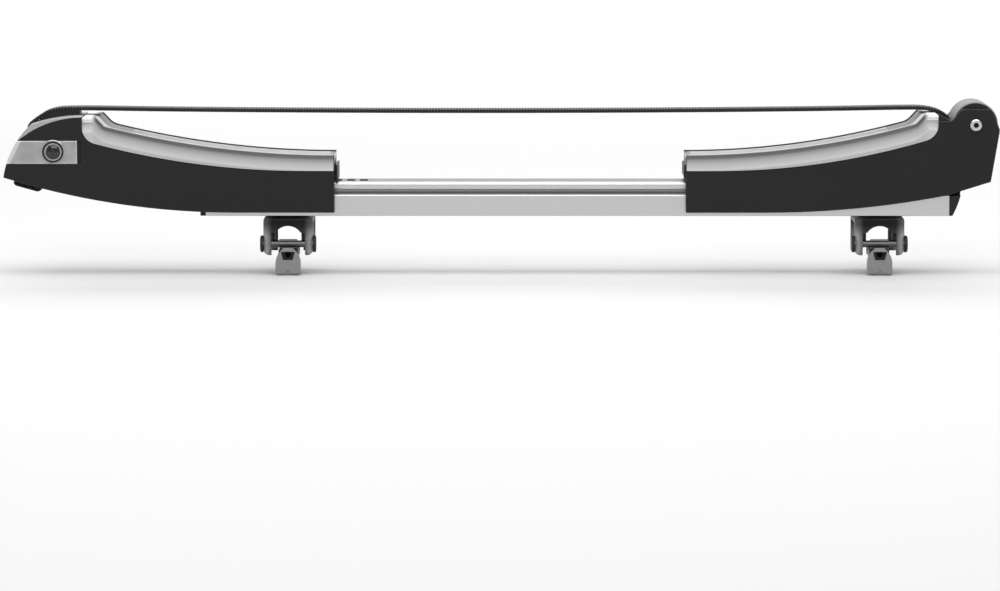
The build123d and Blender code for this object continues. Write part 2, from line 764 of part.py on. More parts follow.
SHELF = CHANNEL
CORE_HALF = INSIDE - SEAM / 2
CORE_HOLE = SCREW_LENGTH - PLATE + SCREW_CLEAR
LEFT_CHANNEL = LEFT_INNER - RAIL_LEFT + CAP_FLANGE + SLIDE_IN + END_WALL
LATCH_PIN_X = LEFT.x(LATCH_REACH)
LATCH_PIN_Z = RAIL_TOP + LATCH_LIFT
LATCH_HALF = LATCH_WIDTH / 2 + RUN

with BuildPart() as left_core:
    slab(LEFT_PLATE, -CORE_HALF, CORE_HALF)
    bays = [(END_WALL, LEFT_CHANNEL)]
    bays += [(LEFT_CHANNEL + RIB, LEFT_CHANNEL + RIB + LEFT_BAY)]
    bays += [(LEFT_CHANNEL + 2 * RIB + LEFT_BAY, PAD_LENGTH + NOSE_LENGTH)]
    slab(hollows(LEFT, LEFT_PLATE, bays), -SHELF, SHELF, Mode.SUBTRACT)
    rail_channel(LEFT, LEFT_CHANNEL, RUN)
    block(
        (LATCH_PIN_X - LATCH_HALF, -LATCH_HALF, RAIL_TOP),
        (LEFT.x(-END_WALL), LATCH_HALF, PAD_FOOT - LATCH_ROOF),
        Mode.SUBTRACT,
    )
    for side in (-1, 1):
        wing = LATCH_EAR * side
        low, high = sorted((side * LATCH_HALF, side * LATCH_HALF + wing))
        block(
            (LATCH_PIN_X - LATCH_EAR, low, RAIL_TOP + RUN),
            (LATCH_PIN_X + LATCH_EAR, high, PAD_FOOT - SEAM),
        )
    bar_y(LATCH_PIN_X, LATCH_PIN_Z, LATCH_PIN_RADIUS + PIN_FIT, -SHELF, SHELF, Mode.SUBTRACT)
    slab(lock_slot(), -INSIDE, 0, Mode.SUBTRACT)
    bar_y(CAM_X, CAM_HEIGHT, CAM_PIN_RADIUS + PIN_FIT, -INSIDE, INSIDE, Mode.SUBTRACT)
    slot_half = STRAP_WIDTH / 2 + STRAP_SLOT_GAP
    slot_reach = STRAP_THICK / 2 + STRAP_SLOT_GAP
    block(
        (STRAP_X - slot_reach, -slot_half, ARM_BASE),
        (STRAP_X + slot_reach + STRAP_TURN, slot_half, HIGH),
        Mode.SUBTRACT,
    )
    for x, z in screw_places(LEFT):
        bar_y(x, z, SCREW_RADIUS + PIN_FIT, INSIDE - CORE_HOLE, INSIDE, Mode.SUBTRACT)
save(left_core, "left_arm_core")

with BuildPart() as glides:
    runners(LEFT, RUN, CHANNEL, *INNER_GLIDE)
    runners(LEFT, RUN, CHANNEL, *OUTER_GLIDE)
save(glides, "rail_glides")

with BuildPart() as right_core:
    slab(RIGHT_PLATE, -CORE_HALF, CORE_HALF)
    right_reach = RAIL_RIGHT - RIGHT_INNER
    bay = (right_reach - RIGHT_BLOCK) / 3
    bays = [(RIGHT_BLOCK + bay * i, RIGHT_BLOCK + bay * (i + 1) - RIB) for i in range(3)]
    slab(hollows(RIGHT, RIGHT_PLATE, bays), -SHELF, SHELF, Mode.SUBTRACT)
    rail_channel(RIGHT, right_reach + CAP_TOE + CAP_BULGE + END_WALL, RUN)
    runners(RIGHT, SEAM, SHELF + SEAM, END_WALL, RIGHT_BLOCK - RIB)
    runners(RIGHT, SEAM, SHELF + SEAM, right_reach - RIGHT_BLOCK, right_reach - RIB)
    clear = ROLLER_RADIUS + ROLLER_GAP
    with BuildSketch() as shoulder:
        with BuildLine():
            Polyline(
                (RIGHT.outer + SEAM, ANCHOR_HEIGHT),
                (RIGHT.outer + SEAM, RIGHT.block_top),
                (ROLLER_X - clear, TOWER_WAIST),
                (ROLLER_X - clear, ANCHOR_HEIGHT),
                close=True,
            )
        make_face()
    slab(shoulder.sketch_local, -CORE_HALF, CORE_HALF)
    with BuildSketch() as cradle:
        with Locations((ROLLER_X, ROLLER_HEIGHT)):
            Circle(clear)
            Rectangle(HIGH, HIGH - clear, align=(Align.MIN, Align.MIN))
            Rectangle(HIGH, 2 * clear, align=(Align.MIN, Align.CENTER))
    slab(cradle.sketch_local, -HALF, HALF, Mode.SUBTRACT)
    block(
        (ANCHOR_X - ANCHOR_RADIUS - STRAP_THICK - STRAP_SLOT_GAP, -slot_half, ANCHOR_HEIGHT - 2 * DECK),
        (ROLLER_X, slot_half, HIGH),
        Mode.SUBTRACT,
    )
    bar_y(ANCHOR_X, ANCHOR_HEIGHT, ANCHOR_RADIUS + PIN_FIT, -SHELF, SHELF, Mode.SUBTRACT)
    for across in (-ARM_BOLT_Y, ARM_BOLT_Y):
        spot = (RIGHT.x(ARM_BOLT_U), across)
        bar_z(*spot, SCREW_RADIUS + PIN_FIT, RAIL_TOP, HIGH, Mode.SUBTRACT)
        bar_z(*spot, SCREW_HEAD_RADIUS + SEAM, PAD_FOOT - SCREW_HEAD - SEAM, HIGH, Mode.SUBTRACT)
    for x, z in screw_places(RIGHT):
        bar_y(x, z, SCREW_RADIUS + PIN_FIT, INSIDE - CORE_HOLE, INSIDE, Mode.SUBTRACT)
save(right_core, "right_arm_core")

for arm, name, outline in ((LEFT, "left", LEFT_PLATE), (RIGHT, "right", RIGHT_PLATE)):
    save(side_plate(arm, outline, near=True), f"{name}_near_plate")
    save(side_plate(arm, outline, near=False), f"{name}_far_plate")
    with BuildPart() as screws:
        for x, z in screw_places(arm):
            bar_y(x, z, SCREW_RADIUS, HALF - SCREW_LENGTH, HALF)
            bar_y(x, z, SCREW_HEAD_RADIUS, HALF, HALF + SCREW_HEAD)
            with BuildSketch(Plane.XZ.offset(-HALF - SCREW_HEAD)) as drive:
                with Locations((x, z)):
                    RegularPolygon(SCREW_RADIUS, 6)
            extrude(drive.sketch, amount=SCREW_HEAD / 2, mode=Mode.SUBTRACT)
    save(screws, f"{name}_plate_screws")

with BuildPart() as arm_bolts:
    for across in (-ARM_BOLT_Y, ARM_BOLT_Y):
        bar_z(RIGHT.x(ARM_BOLT_U), across, SCREW_RADIUS, RAIL_SHOULDER, PAD_FOOT - SCREW_HEAD)
        bar_z(RIGHT.x(ARM_BOLT_U), across, SCREW_HEAD_RADIUS, PAD_FOOT - SCREW_HEAD, PAD_FOOT - SEAM)
save(arm_bolts, "right_arm_bolts")

with BuildPart() as inner_cap:
    block(
        (RIGHT.inner - LATCH_TAB, -CHANNEL, RAIL_TOP + TAB_GROUND),
        (RIGHT.inner, CHANNEL, RAIL_TOP + TAB_GROUND + LATCH_TAB_HEIGHT),
    )
    chamfer(inner_cap.faces().sort_by(Axis.X)[0].edges(), ARM_EDGE)
save(inner_cap, "right_inner_cap")


# Nose of the left arm: cover, strap guide, release button with its lock, and strap cam

with BuildPart() as nose_cover:
    with BuildSketch() as cover_outline:
        add(NOSE_SHAPE)
        add(cover_zone(SEAM), mode=Mode.INTERSECT)
        add(seat_zone(LEFT, SEAM), mode=Mode.SUBTRACT)
        add(BUTTON_CLEAR, mode=Mode.SUBTRACT)
    slab(cover_outline.sketch_local, -HALF, HALF)
    rims = nose_cover.edges().filter_by(GeomType.CIRCLE)
    curves = (NOSE_FRONT_RADIUS, NOSE_BROW_RADIUS)
    rims = rims.filter_by(lambda e: min(abs(e.radius - r) for r in curves) < COVER_EDGE)
    fillet(rims, COVER_EDGE)
    block(
        (STRAP_X - slot_reach, -slot_half, BUTTON_TOP),
        (STRAP_X + slot_reach + STRAP_TURN, slot_half, HIGH),
        Mode.SUBTRACT,
    )
save(nose_cover, "nose_cover")


def strap_nose_line():
    """Draw the middle of the strap from the nose's foot to the start of the free span."""
    turn = radians(STRAP_BEND_ANGLE)
    start = STRAP_LEFT_Z - STRAP_BEND * (1 - cos(turn)) - STRAP_TURN * cos(turn)
    along = PAD_LENGTH + STRAP_U - LEFT.base_flat
    low = ARM_BASE + LEFT.base_radius - sqrt(LEFT.base_radius**2 - along**2)
    run = Line((STRAP_X, low), (STRAP_X, start))
    edge = JernArc(run @ 1, (0, 1), STRAP_TURN, STRAP_BEND_ANGLE - 90)
    bend = JernArc(edge @ 1, edge % 1, STRAP_BEND, -STRAP_BEND_ANGLE)
    Line(bend @ 1, (LEFT.x(PAD_LENGTH + STRAP_JOIN), STRAP_LEFT_Z))
    return low


with BuildPart() as strap_nose:
    with BuildSketch() as strap_side:
        with BuildLine():
            strap_foot = strap_nose_line()
        trace(line_width=STRAP_THICK)
    slab(strap_side.sketch_local, -STRAP_WIDTH / 2, STRAP_WIDTH / 2)
save(strap_nose, "strap_nose")

with BuildPart() as strap_guide:
    under = STRAP_LEFT_Z - STRAP_THICK / 2 - SEAM
    guide_end = LEFT.x(PAD_LENGTH + STRAP_JOIN)
    with BuildSketch() as guide_side:
        with BuildLine():
            bend_x = STRAP_X + STRAP_TURN * (1 - sin(radians(STRAP_BEND_ANGLE)))
            bend_x += STRAP_BEND * sin(radians(STRAP_BEND_ANGLE))
            top = Line((guide_end, under), (bend_x, under))
            bow = JernArc(top @ 1, (-1, 0), STRAP_BEND - STRAP_THICK / 2 - SEAM, STRAP_BEND_ANGLE)
            Polyline(bow @ 1, ((bow @ 1).X, BUTTON_TOP), (guide_end, BUTTON_TOP), (guide_end, under))
        make_face()
        add(NOSE_SHAPE, mode=Mode.SUBTRACT)
    slab(guide_side.sketch_local, -GUIDE_WIDTH / 2, GUIDE_WIDTH / 2)
    block(
        (STRAP_X - slot_reach, -HALF, BUTTON_TOP),
        (STRAP_X + slot_reach + STRAP_TURN, HALF, HIGH),
        Mode.SUBTRACT,
    )
save(strap_guide, "strap_guide")

with BuildPart() as strap_tail:
    with BuildSketch() as loop_side:
        underside = degrees(asin((PAD_LENGTH + STRAP_U - LEFT.base_flat) / LEFT.base_radius))
        with Locations(Location((STRAP_X - STRAP_THICK / 2, strap_foot), (0, 0, -underside))):
            with Locations((0, -TAIL_LOOP_DROP / 2)):
                RectangleRounded(TAIL_LOOP_LENGTH, TAIL_LOOP_DROP, TAIL_LOOP_DROP / 2 - SEAM)
                Rectangle(TAIL_LOOP_LENGTH - 2 * TAIL_LOOP_DROP, TAIL_LOOP_SLIT, mode=Mode.SUBTRACT)
    slab(loop_side.sketch_local, -STRAP_WIDTH / 2, STRAP_WIDTH / 2)
save(strap_tail, "strap_tail")

with BuildPart() as button:
    with BuildSketch() as button_side:
        add(NOSE_SHAPE)
        add(band_zone(), mode=Mode.INTERSECT)
    with BuildSketch() as button_front:
        add(button_side.sketch_local)
        add(Pos(BUTTON_FRONT, 0) * NOSE_SHAPE, mode=Mode.SUBTRACT)
    slab(button_front.sketch_local, -BUTTON_OUT, BUTTON_OUT)
    slab(button_side.sketch_local, -BUTTON_OUT, BUTTON_WALL - BUTTON_OUT)
    slab(button_side.sketch_local, BUTTON_OUT - BUTTON_WALL, BUTTON_OUT)
    chamfer(button.faces().sort_by(Axis.Y)[0].edges(), BUTTON_EDGE)
    chamfer(button.faces().sort_by(Axis.Y)[-1].edges(), BUTTON_EDGE)
    bar_y(LOCK_X, LOCK_Z, LOCK_RADIUS + PIN_FIT, -BUTTON_OUT, 0, Mode.SUBTRACT)
save(button, "release_button")

with BuildPart() as lock_bezel:
    bar_y(LOCK_X, LOCK_Z, LOCK_BEZEL_RADIUS, -BUTTON_OUT - LOCK_BEZEL, -BUTTON_OUT)
    chamfer(lock_bezel.faces().sort_by(Axis.Y)[0].edges(), LOCK_BEZEL / 2)
    bar_y(LOCK_X, LOCK_Z, LOCK_RADIUS + PIN_FIT, -BUTTON_OUT - LOCK_BEZEL, 0, Mode.SUBTRACT)
save(lock_bezel, "lock_bezel")

with BuildPart() as lock_barrel:
    lock_end = LOCK_DEPTH - BUTTON_OUT
    bar_y(LOCK_X, LOCK_Z, LOCK_RADIUS, -BUTTON_OUT, lock_end)
    bar_y(LOCK_X, LOCK_Z, PLUG_COLLAR_RADIUS, -BUTTON_OUT, LOCK_BEZEL - BUTTON_OUT, Mode.SUBTRACT)
    bar_y(LOCK_X, LOCK_Z, PLUG_RADIUS + PIN_FIT, -BUTTON_OUT, lock_end, Mode.SUBTRACT)
save(lock_barrel, "lock_barrel")

with BuildPart() as lock_plug:
    bar_y(LOCK_X, LOCK_Z, PLUG_RADIUS, -BUTTON_OUT, lock_end + RUN)
    chamfer(lock_plug.faces().sort_by(Axis.Y)[0].edges(), LOCK_BEZEL)
    block(
        (LOCK_X - TAIL_WIDTH / 2, lock_end + RUN, LOCK_Z - TAIL_WIDTH / 2),
        (LOCK_X + TAIL_WIDTH / 2, lock_end + RUN + TAIL_THICK, LOCK_Z + TAIL_LENGTH - TAIL_WIDTH / 2),
    )
    block(
        (LOCK_X - KEYWAY_WIDTH / 2, -BUTTON_OUT, LOCK_Z - KEYWAY_LENGTH / 2),
        (LOCK_X + KEYWAY_WIDTH / 2, KEYWAY_DEPTH - BUTTON_OUT, LOCK_Z + KEYWAY_LENGTH / 2),
        Mode.SUBTRACT,
    )
save(lock_plug, "lock_plug")

with BuildPart() as strap_cam:
    with BuildSketch() as cam_side:
        with Locations((CAM_X - CAM_OFFSET, CAM_HEIGHT)):
            Circle(CAM_RADIUS)
            with PolarLocations(CAM_RADIUS, CAM_TEETH, 180 - CAM_TOOTH_ARC / 2, CAM_TOOTH_ARC):
                Circle(CAM_TOOTH, mode=Mode.SUBTRACT)
        with Locations((CAM_X, CAM_HEIGHT)):
            Circle(CAM_PIN_RADIUS + PIN_FIT, mode=Mode.SUBTRACT)
    slab(cam_side.sketch_local, -CAM_WIDTH / 2, CAM_WIDTH / 2)
save(strap_cam, "strap_cam")

with BuildPart() as cam_pin:
    bar_y(CAM_X, CAM_HEIGHT, CAM_PIN_RADIUS, -CORE_HALF, CORE_HALF)
save(cam_pin, "cam_pin")


def coil(radius, height):
    """A close-wound spring that stands on the place in hand and rises along its Z axis."""
    turns = int(height / (2 * SPRING_WIRE)) + 1
    pitch = (height - 2 * SPRING_WIRE) / (turns - 1)
    with Locations(*[(0, 0, SPRING_WIRE + pitch * turn) for turn in range(turns)]):
        Torus(radius, SPRING_WIRE)


with BuildPart() as cam_spring:
    with Locations(Location((CAM_X, CAM_WIDTH / 2 + RUN, CAM_HEIGHT), (-90, 0, 0))):
        coil(CAM_PIN_RADIUS + SPRING_WIRE + RUN, CAM_SPRING_LENGTH)
save(cam_spring, "cam_spring")


def span_edge(off):
    """Draw one face of the strap's free span, at a height off its middle, and return its two ends."""
    dip = radians(STRAP_DIP_ANGLE)
    down = ANCHOR_X + ANCHOR_RADIUS + STRAP_THICK / 2
    end_x = down - STRAP_SLOPE - STRAP_BEND * sin(dip) - STRAP_TURN * (1 - sin(dip))
    start = (LEFT.x(PAD_LENGTH + STRAP_JOIN) + SEAM, STRAP_LEFT_Z + off)
    end = (end_x, STRAP_RIGHT_Z + off)
    middle = ((start[0] + end[0]) / 2, (start[1] + end[1]) / 2 - STRAP_SAG)
    ThreePointArc(start, middle, end)
    over = JernArc(end, (1, 0), STRAP_BEND + off, -STRAP_DIP_ANGLE)
    slope = Line(over @ 1, over @ 1 + (over % 1) * STRAP_SLOPE / cos(dip))
    drop = JernArc(slope @ 1, slope % 1, STRAP_TURN + off, STRAP_DIP_ANGLE - 90)
    hang = Line(drop @ 1, ((drop @ 1).X, ANCHOR_HEIGHT))
    return start, hang @ 1


with BuildPart() as strap_span:
    with BuildSketch() as span_side:
        with BuildLine():
            upper = span_edge(STRAP_THICK / 2)
            lower = span_edge(-STRAP_THICK / 2)
            Line(upper[0], lower[0])
            Line(upper[1], lower[1])
        make_face()
        with Locations((ANCHOR_X, ANCHOR_HEIGHT)):
            Circle(ANCHOR_RADIUS + STRAP_THICK)
            Circle(ANCHOR_RADIUS + PIN_FIT, mode=Mode.SUBTRACT)
    slab(span_side.sketch_local, -STRAP_WIDTH / 2, STRAP_WIDTH / 2)
save(strap_span, "strap_span")

with BuildPart() as anchor_pin:
    bar_y(ANCHOR_X, ANCHOR_HEIGHT, ANCHOR_RADIUS, -SHELF, SHELF)
save(anchor_pin, "strap_anchor_pin")


# Width latch: a sprung lever whose tooth drops into one of the rail's slots

TOOTH_X = LATCH_LAST_SLOT - LATCH_PITCH * LATCH_REST_SLOT

with BuildPart() as latch:
    bar_low = LATCH_PIN_Z - LATCH_BAR + SEAM
    tab_x = LEFT.x(-LATCH_TAB_GAP)
    block((LATCH_PIN_X, -LATCH_WIDTH / 2, bar_low), (tab_x + LATCH_TAB, LATCH_WIDTH / 2, bar_low + LATCH_BAR))
    bar_y(LATCH_PIN_X, LATCH_PIN_Z, LATCH_BARREL, -LATCH_WIDTH / 2, LATCH_WIDTH / 2)
    block(
        (TOOTH_X - LATCH_TOOTH_LENGTH / 2, -LATCH_WIDTH / 2, RAIL_TOP - LATCH_TOOTH_BITE),
        (TOOTH_X + LATCH_TOOTH_LENGTH / 2, LATCH_WIDTH / 2, bar_low),
    )
    block(
        (tab_x, -CHANNEL, bar_low),
        (tab_x + LATCH_TAB, CHANNEL, RAIL_TOP + TAB_GROUND + LATCH_TAB_HEIGHT),
    )
    bar_y(LATCH_PIN_X, LATCH_PIN_Z, LATCH_PIN_RADIUS + PIN_FIT, -HALF, HALF, Mode.SUBTRACT)
save(latch, "width_latch")

with BuildPart() as latch_pin:
    pin_half = LATCH_HALF + LATCH_EAR
    bar_y(LATCH_PIN_X, LATCH_PIN_Z, LATCH_PIN_RADIUS, -pin_half, pin_half)
save(latch_pin, "latch_pin")

with BuildPart() as latch_spring:
    spring_foot = bar_low + LATCH_BAR
    with Locations((LATCH_PIN_X + LATCH_REACH / 3, 0, spring_foot)):
        coil(SPRING_RADIUS, PAD_FOOT - LATCH_ROOF - spring_foot)
save(latch_spring, "latch_spring")


# Roller on its axle bolt

with BuildPart() as roller_hub:
    end = ROLLER_LENGTH / 2
    bar_y(ROLLER_X, ROLLER_HEIGHT, ROLLER_CORE_RADIUS, -end, end)
    for low, high in ((-end, ROLLER_FLANGE - end), (end - ROLLER_FLANGE, end)):
        bar_y(ROLLER_X, ROLLER_HEIGHT, ROLLER_RADIUS - ROLLER_GROOVE, low, high)
    bar_y(ROLLER_X, ROLLER_HEIGHT, AXLE_RADIUS + RUN, -end, end, Mode.SUBTRACT)
    for low, high in ((-end, BUSH_LENGTH - end), (end - BUSH_LENGTH, end)):
        bar_y(ROLLER_X, ROLLER_HEIGHT, BUSH_RADIUS + PIN_FIT, low, high, Mode.SUBTRACT)
save(roller_hub, "roller_hub")

with BuildPart() as roller_tread:
    tread_end = end - ROLLER_FLANGE
    bar_y(ROLLER_X, ROLLER_HEIGHT, ROLLER_RADIUS, -tread_end, tread_end)
    chamfer(roller_tread.edges().filter_by(GeomType.CIRCLE), ROLLER_GROOVE)
    pitch = 2 * tread_end / ROLLER_GROOVES
    for i in range(1, ROLLER_GROOVES):
        low = i * pitch - tread_end - ROLLER_GROOVE / 2
        with BuildSketch(Plane.XZ.offset(-low)) as groove:
            with Locations((ROLLER_X, ROLLER_HEIGHT)):
                Circle(ROLLER_RADIUS + RUN)
                Circle(ROLLER_RADIUS - ROLLER_GROOVE / 2, mode=Mode.SUBTRACT)
        extrude(groove.sketch, amount=-ROLLER_GROOVE, mode=Mode.SUBTRACT)
    bar_y(ROLLER_X, ROLLER_HEIGHT, ROLLER_CORE_RADIUS + PIN_FIT, -tread_end, tread_end, Mode.SUBTRACT)
save(roller_tread, "roller_tread")

with BuildPart() as roller_bushes:
    bush_out = INSIDE - BUSH_GAP
    for low, high in ((-bush_out, BUSH_LENGTH - end), (end - BUSH_LENGTH, bush_out)):
        bar_y(ROLLER_X, ROLLER_HEIGHT, BUSH_RADIUS, low, high)
        bar_y(ROLLER_X, ROLLER_HEIGHT, AXLE_RADIUS + PIN_FIT, low, high, Mode.SUBTRACT)
save(roller_bushes, "roller_bushes")

with BuildPart() as roller_axle:
    bar_y(ROLLER_X, ROLLER_HEIGHT, AXLE_RADIUS, -HALF, HALF + AXLE_NUT)
    bar_y(ROLLER_X, ROLLER_HEIGHT, AXLE_HEAD_RADIUS, -HALF - AXLE_HEAD, -HALF)
    chamfer(roller_axle.faces().sort_by(Axis.Y)[0].edges(), AXLE_HEAD / 4)
    with BuildSketch(Plane.XZ.offset(HALF + AXLE_HEAD)) as socket:
        with Locations((ROLLER_X, ROLLER_HEIGHT)):
            RegularPolygon(HEX_SOCKET / 2, 6, major_radius=False)
    extrude(socket.sketch, amount=-HEX_DEPTH, mode=Mode.SUBTRACT)
save(roller_axle, "roller_axle")

with BuildPart() as axle_nut:
    with BuildSketch(Plane.XZ.offset(-HALF)) as nut_face:
        with Locations((ROLLER_X, ROLLER_HEIGHT)):
            RegularPolygon(NUT_RADIUS, 6)
            Circle(AXLE_RADIUS + PIN_FIT, mode=Mode.SUBTRACT)
    extrude(nut_face.sketch, amount=-AXLE_NUT)
save(axle_nut, "roller_axle_nut")


# Clamp feet: a cast saddle with a fork in front and hooks behind, and a jaw that swings on a rod

ROD_Y = FORK_NEAR_Y + FORK_DEPTH / 2
LIP_TOP = -CROSSBAR_HEIGHT - SEAT_PAD
JAW_TOP = -ROD_DROP - JAW_DROP
JAW_BOLT_Z = JAW_TOP - TONGUE_THICK / 2


def foot_saddle(x):
    """The cast body that sits on the crossbar."""
    half = SADDLE_WIDTH / 2
    back = HOOK_FAR_Y + HOOK_DEPTH
    with BuildPart() as saddle:
        with BuildSketch() as front:
            with Locations((x, (SADDLE_DECK - SADDLE_DROP) / 2)):
                RectangleRounded(SADDLE_WIDTH, SADDLE_DECK + SADDLE_DROP, SADDLE_CORNER)
            with BuildLine():
                spring = [(x - ARCH_WIDTH / 2, -ARCH_SHOULDER), (x + ARCH_WIDTH / 2, -ARCH_SHOULDER)]
                arch = ThreePointArc(spring[0], (x, ARCH_TOP), spring[1])
                Polyline(
                    arch @ 1,
                    (x + FORK_INSIDE / 2, -ARCH_SHOULDER),
                    (x + FORK_INSIDE / 2, -HIGH),
                    (x - FORK_INSIDE / 2, -HIGH),
                    (x - FORK_INSIDE / 2, -ARCH_SHOULDER),
                    arch @ 0,
                )
            make_face(mode=Mode.SUBTRACT)
        fork_back = FORK_NEAR_Y + FORK_DEPTH
        slab(front.sketch_local, FORK_NEAR_Y, fork_back)
        rim = saddle.faces().sort_by(Axis.Y)[0].edges()
        fillet(rim.filter_by(lambda e: abs(e.center().X - x) > half - SADDLE_CORNER), FORK_ROUND)
        with BuildSketch() as deck:
            with Locations((x, SADDLE_DECK)):
                RectangleRounded(
                    SADDLE_WIDTH,
                    2 * SADDLE_DECK,
                    SADDLE_CORNER,
                    align=(Align.CENTER, Align.MAX),
                )
            with Locations((x, SEAT_PAD)):
                Rectangle(SADDLE_WIDTH, 2 * SADDLE_DECK, align=(Align.CENTER, Align.MAX), mode=Mode.SUBTRACT)
        slab(deck.sketch_local, fork_back - FORK_DEPTH / 2, back)
        for side in (-1, 1):
            low, high = sorted((x + side * HOOK_INSIDE / 2, x + side * (half - FORK_ROUND)))
            block((low, fork_back, -CHEEK_DROP), (high, fork_back + CHEEK_DEPTH, SADDLE_DECK / 2))
            low, high = sorted((x + side * HOOK_INSIDE / 2, x + side * half))
            block((low, HOOK_FAR_Y, -SADDLE_DROP), (high, back, SADDLE_DECK / 2))
            block((low, HOOK_FAR_Y - HOOK_LIP, -SADDLE_DROP), (high, HOOK_FAR_Y, LIP_TOP))
        uprights = saddle.edges().filter_by(Axis.Z).filter_by(lambda e: e.center().Y > back - SEAM)
        fillet(uprights, HOOK_DEPTH / 3)
        bar_x(ROD_Y, -ROD_DROP, ROD_RADIUS + PIN_FIT, x - half, x + half, Mode.SUBTRACT)
        bar_z(x, 0, FOOT_BOLT_RADIUS + PIN_FIT, 0, SADDLE_DECK, Mode.SUBTRACT)
        bar_z(x, 0, NUT_RADIUS + RUN, 0, NUT_SEAT, Mode.SUBTRACT)
    return saddle


def seat_pad(x):
    """The rubber sheet between the saddle and the crossbar."""
    half = SADDLE_WIDTH / 2 - SEAT_PAD
    with BuildPart() as sheet:
        start = FORK_NEAR_Y + FORK_DEPTH + CHEEK_DEPTH
        block((x - half, start, 0), (x + half, HOOK_FAR_Y, SEAT_PAD))
        bar_z(x, 0, NUT_RADIUS + RUN, 0, SEAT_PAD, Mode.SUBTRACT)
    return sheet


def foot_bolt(x):
    """The tee bolt that hangs in the rail's slot."""
    low = RAIL_BASE + RAIL_WALL
    half = (TEE_SLOT_WIDTH - TEE_HEAD_GAP) / 2
    with BuildPart() as bolt:
        block((x - half, -half, low), (x + half, half, low + TEE_HEAD_HEIGHT))
        bar_z(x, 0, FOOT_BOLT_RADIUS, NUT_SEAT - NUT_HEIGHT, low)
    return bolt


def foot_nut(x):
    """The nut under the saddle's deck."""
    with BuildPart() as nut:
        with BuildSketch(Plane.XY.offset(NUT_SEAT - NUT_HEIGHT)):
            with Locations((x, 0)):
                RegularPolygon(NUT_RADIUS, 6)
                Circle(FOOT_BOLT_RADIUS + PIN_FIT, mode=Mode.SUBTRACT)
        extrude(amount=NUT_HEIGHT)
    return nut


def foot_rod(x):
    """The rod across the fork."""
    with BuildPart() as rod:
        bar_x(ROD_Y, -ROD_DROP, ROD_RADIUS, x - SADDLE_WIDTH / 2, x + SADDLE_WIDTH / 2)
    return rod


def rod_caps(x):
    """The round caps over the rod's ends."""
    half = SADDLE_WIDTH / 2
    with BuildPart() as caps:
        for low, high in ((x - half - PIN_CAP_HEIGHT, x - half), (x + half, x + half + PIN_CAP_HEIGHT)):
            bar_x(ROD_Y, -ROD_DROP, PIN_CAP_RADIUS, low, high)
        ends = caps.faces().filter_by(Axis.X).filter_by(lambda f: abs(f.center().X - x) > half + SEAM)
        chamfer(ends.edges(), PIN_CAP_HEIGHT / 3)
    return caps


def clamp_link(x):
    """The front block that hooks round the rod, with its pocket and thumb notch."""
    half = LINK_WIDTH / 2
    neck = LINK_NECK_WIDTH / 2
    brow = -ROD_DROP - ROD_RADIUS
    foot = -LINK_DROP
    front = ROD_Y - LINK_DEPTH
    with BuildPart() as link:
        with BuildSketch() as face:
            with BuildLine():
                crest = Line((x, brow), (x + neck / 2, brow))
                shoulder = Spline(
                    crest @ 1,
                    (x + half, brow - LINK_SHOULDER),
                    tangents=((1, -1), (0, -1)),
                )
                Polyline(
                    shoulder @ 1,
                    (x + half, foot),
                    (x + LINK_NOTCH, foot),
                    (x, foot + LINK_NOTCH),
                    (x, brow),
                )
            make_face()
            mirror(about=Plane.YZ.offset(x))
        slab(face.sketch_local, front, ROD_Y)
        chamfer(link.faces().sort_by(Axis.Y)[0].edges(), LINK_EDGE)
        bar_x(ROD_Y, -ROD_DROP, LINK_BARREL_RADIUS, x - neck, x + neck)
        block(
            (x - neck, front, -ROD_DROP - ROD_RADIUS),
            (x + neck, ROD_Y, -ROD_DROP + ROD_RADIUS),
            Mode.SUBTRACT,
        )
        with BuildSketch() as pocket:
            with BuildLine():
                Polyline(
                    (x - POCKET_TOP / 2, POCKET_LEVEL),
                    (x + POCKET_TOP / 2, POCKET_LEVEL),
                    (x + POCKET_FOOT / 2, POCKET_LEVEL - POCKET_HEIGHT),
                    (x - POCKET_FOOT / 2, POCKET_LEVEL - POCKET_HEIGHT),
                    close=True,
                )
            make_face()
        slab(pocket.sketch_local, front, front + POCKET_DEPTH, Mode.SUBTRACT)
        bar_y(x, JAW_BOLT_Z, JAW_BOLT_RADIUS + PIN_FIT, front, ROD_Y, Mode.SUBTRACT)
        bar_x(ROD_Y, -ROD_DROP, ROD_RADIUS + PIN_FIT, x - half, x + half, Mode.SUBTRACT)
    return link


def clamp_jaw(x):
    """The tongue that reaches under the crossbar between the hooks."""
    half = TONGUE_WIDTH / 2
    with BuildPart() as jaw:
        block((x - half, ROD_Y, JAW_TOP - TONGUE_THICK), (x + half, HOOK_FAR_Y - HOOK_LIP, JAW_TOP))
        fillet(jaw.edges().filter_by(Axis.Z).group_by(Axis.Y)[-1], TONGUE_THICK)
        bar_y(x, JAW_BOLT_Z, JAW_BOLT_RADIUS + PIN_FIT, ROD_Y, ROD_Y + JAW_BOLT_LENGTH, Mode.SUBTRACT)
    return jaw


def jaw_bolt(x):
    """The bolt in the link's pocket that draws the jaw up."""
    floor = ROD_Y - LINK_DEPTH + POCKET_DEPTH
    with BuildPart() as bolt:
        bar_y(x, JAW_BOLT_Z, JAW_BOLT_RADIUS, floor, ROD_Y + JAW_BOLT_LENGTH)
        bar_y(x, JAW_BOLT_Z, JAW_BOLT_HEAD, floor - JAW_BOLT_RADIUS, floor)
        with BuildSketch(Plane.XZ.offset(JAW_BOLT_RADIUS - floor)) as socket:
            with Locations((x, JAW_BOLT_Z)):
                RegularPolygon(JAW_BOLT_RADIUS, 6, major_radius=False)
        extrude(socket.sketch, amount=-JAW_BOLT_RADIUS / 2, mode=Mode.SUBTRACT)
    return bolt


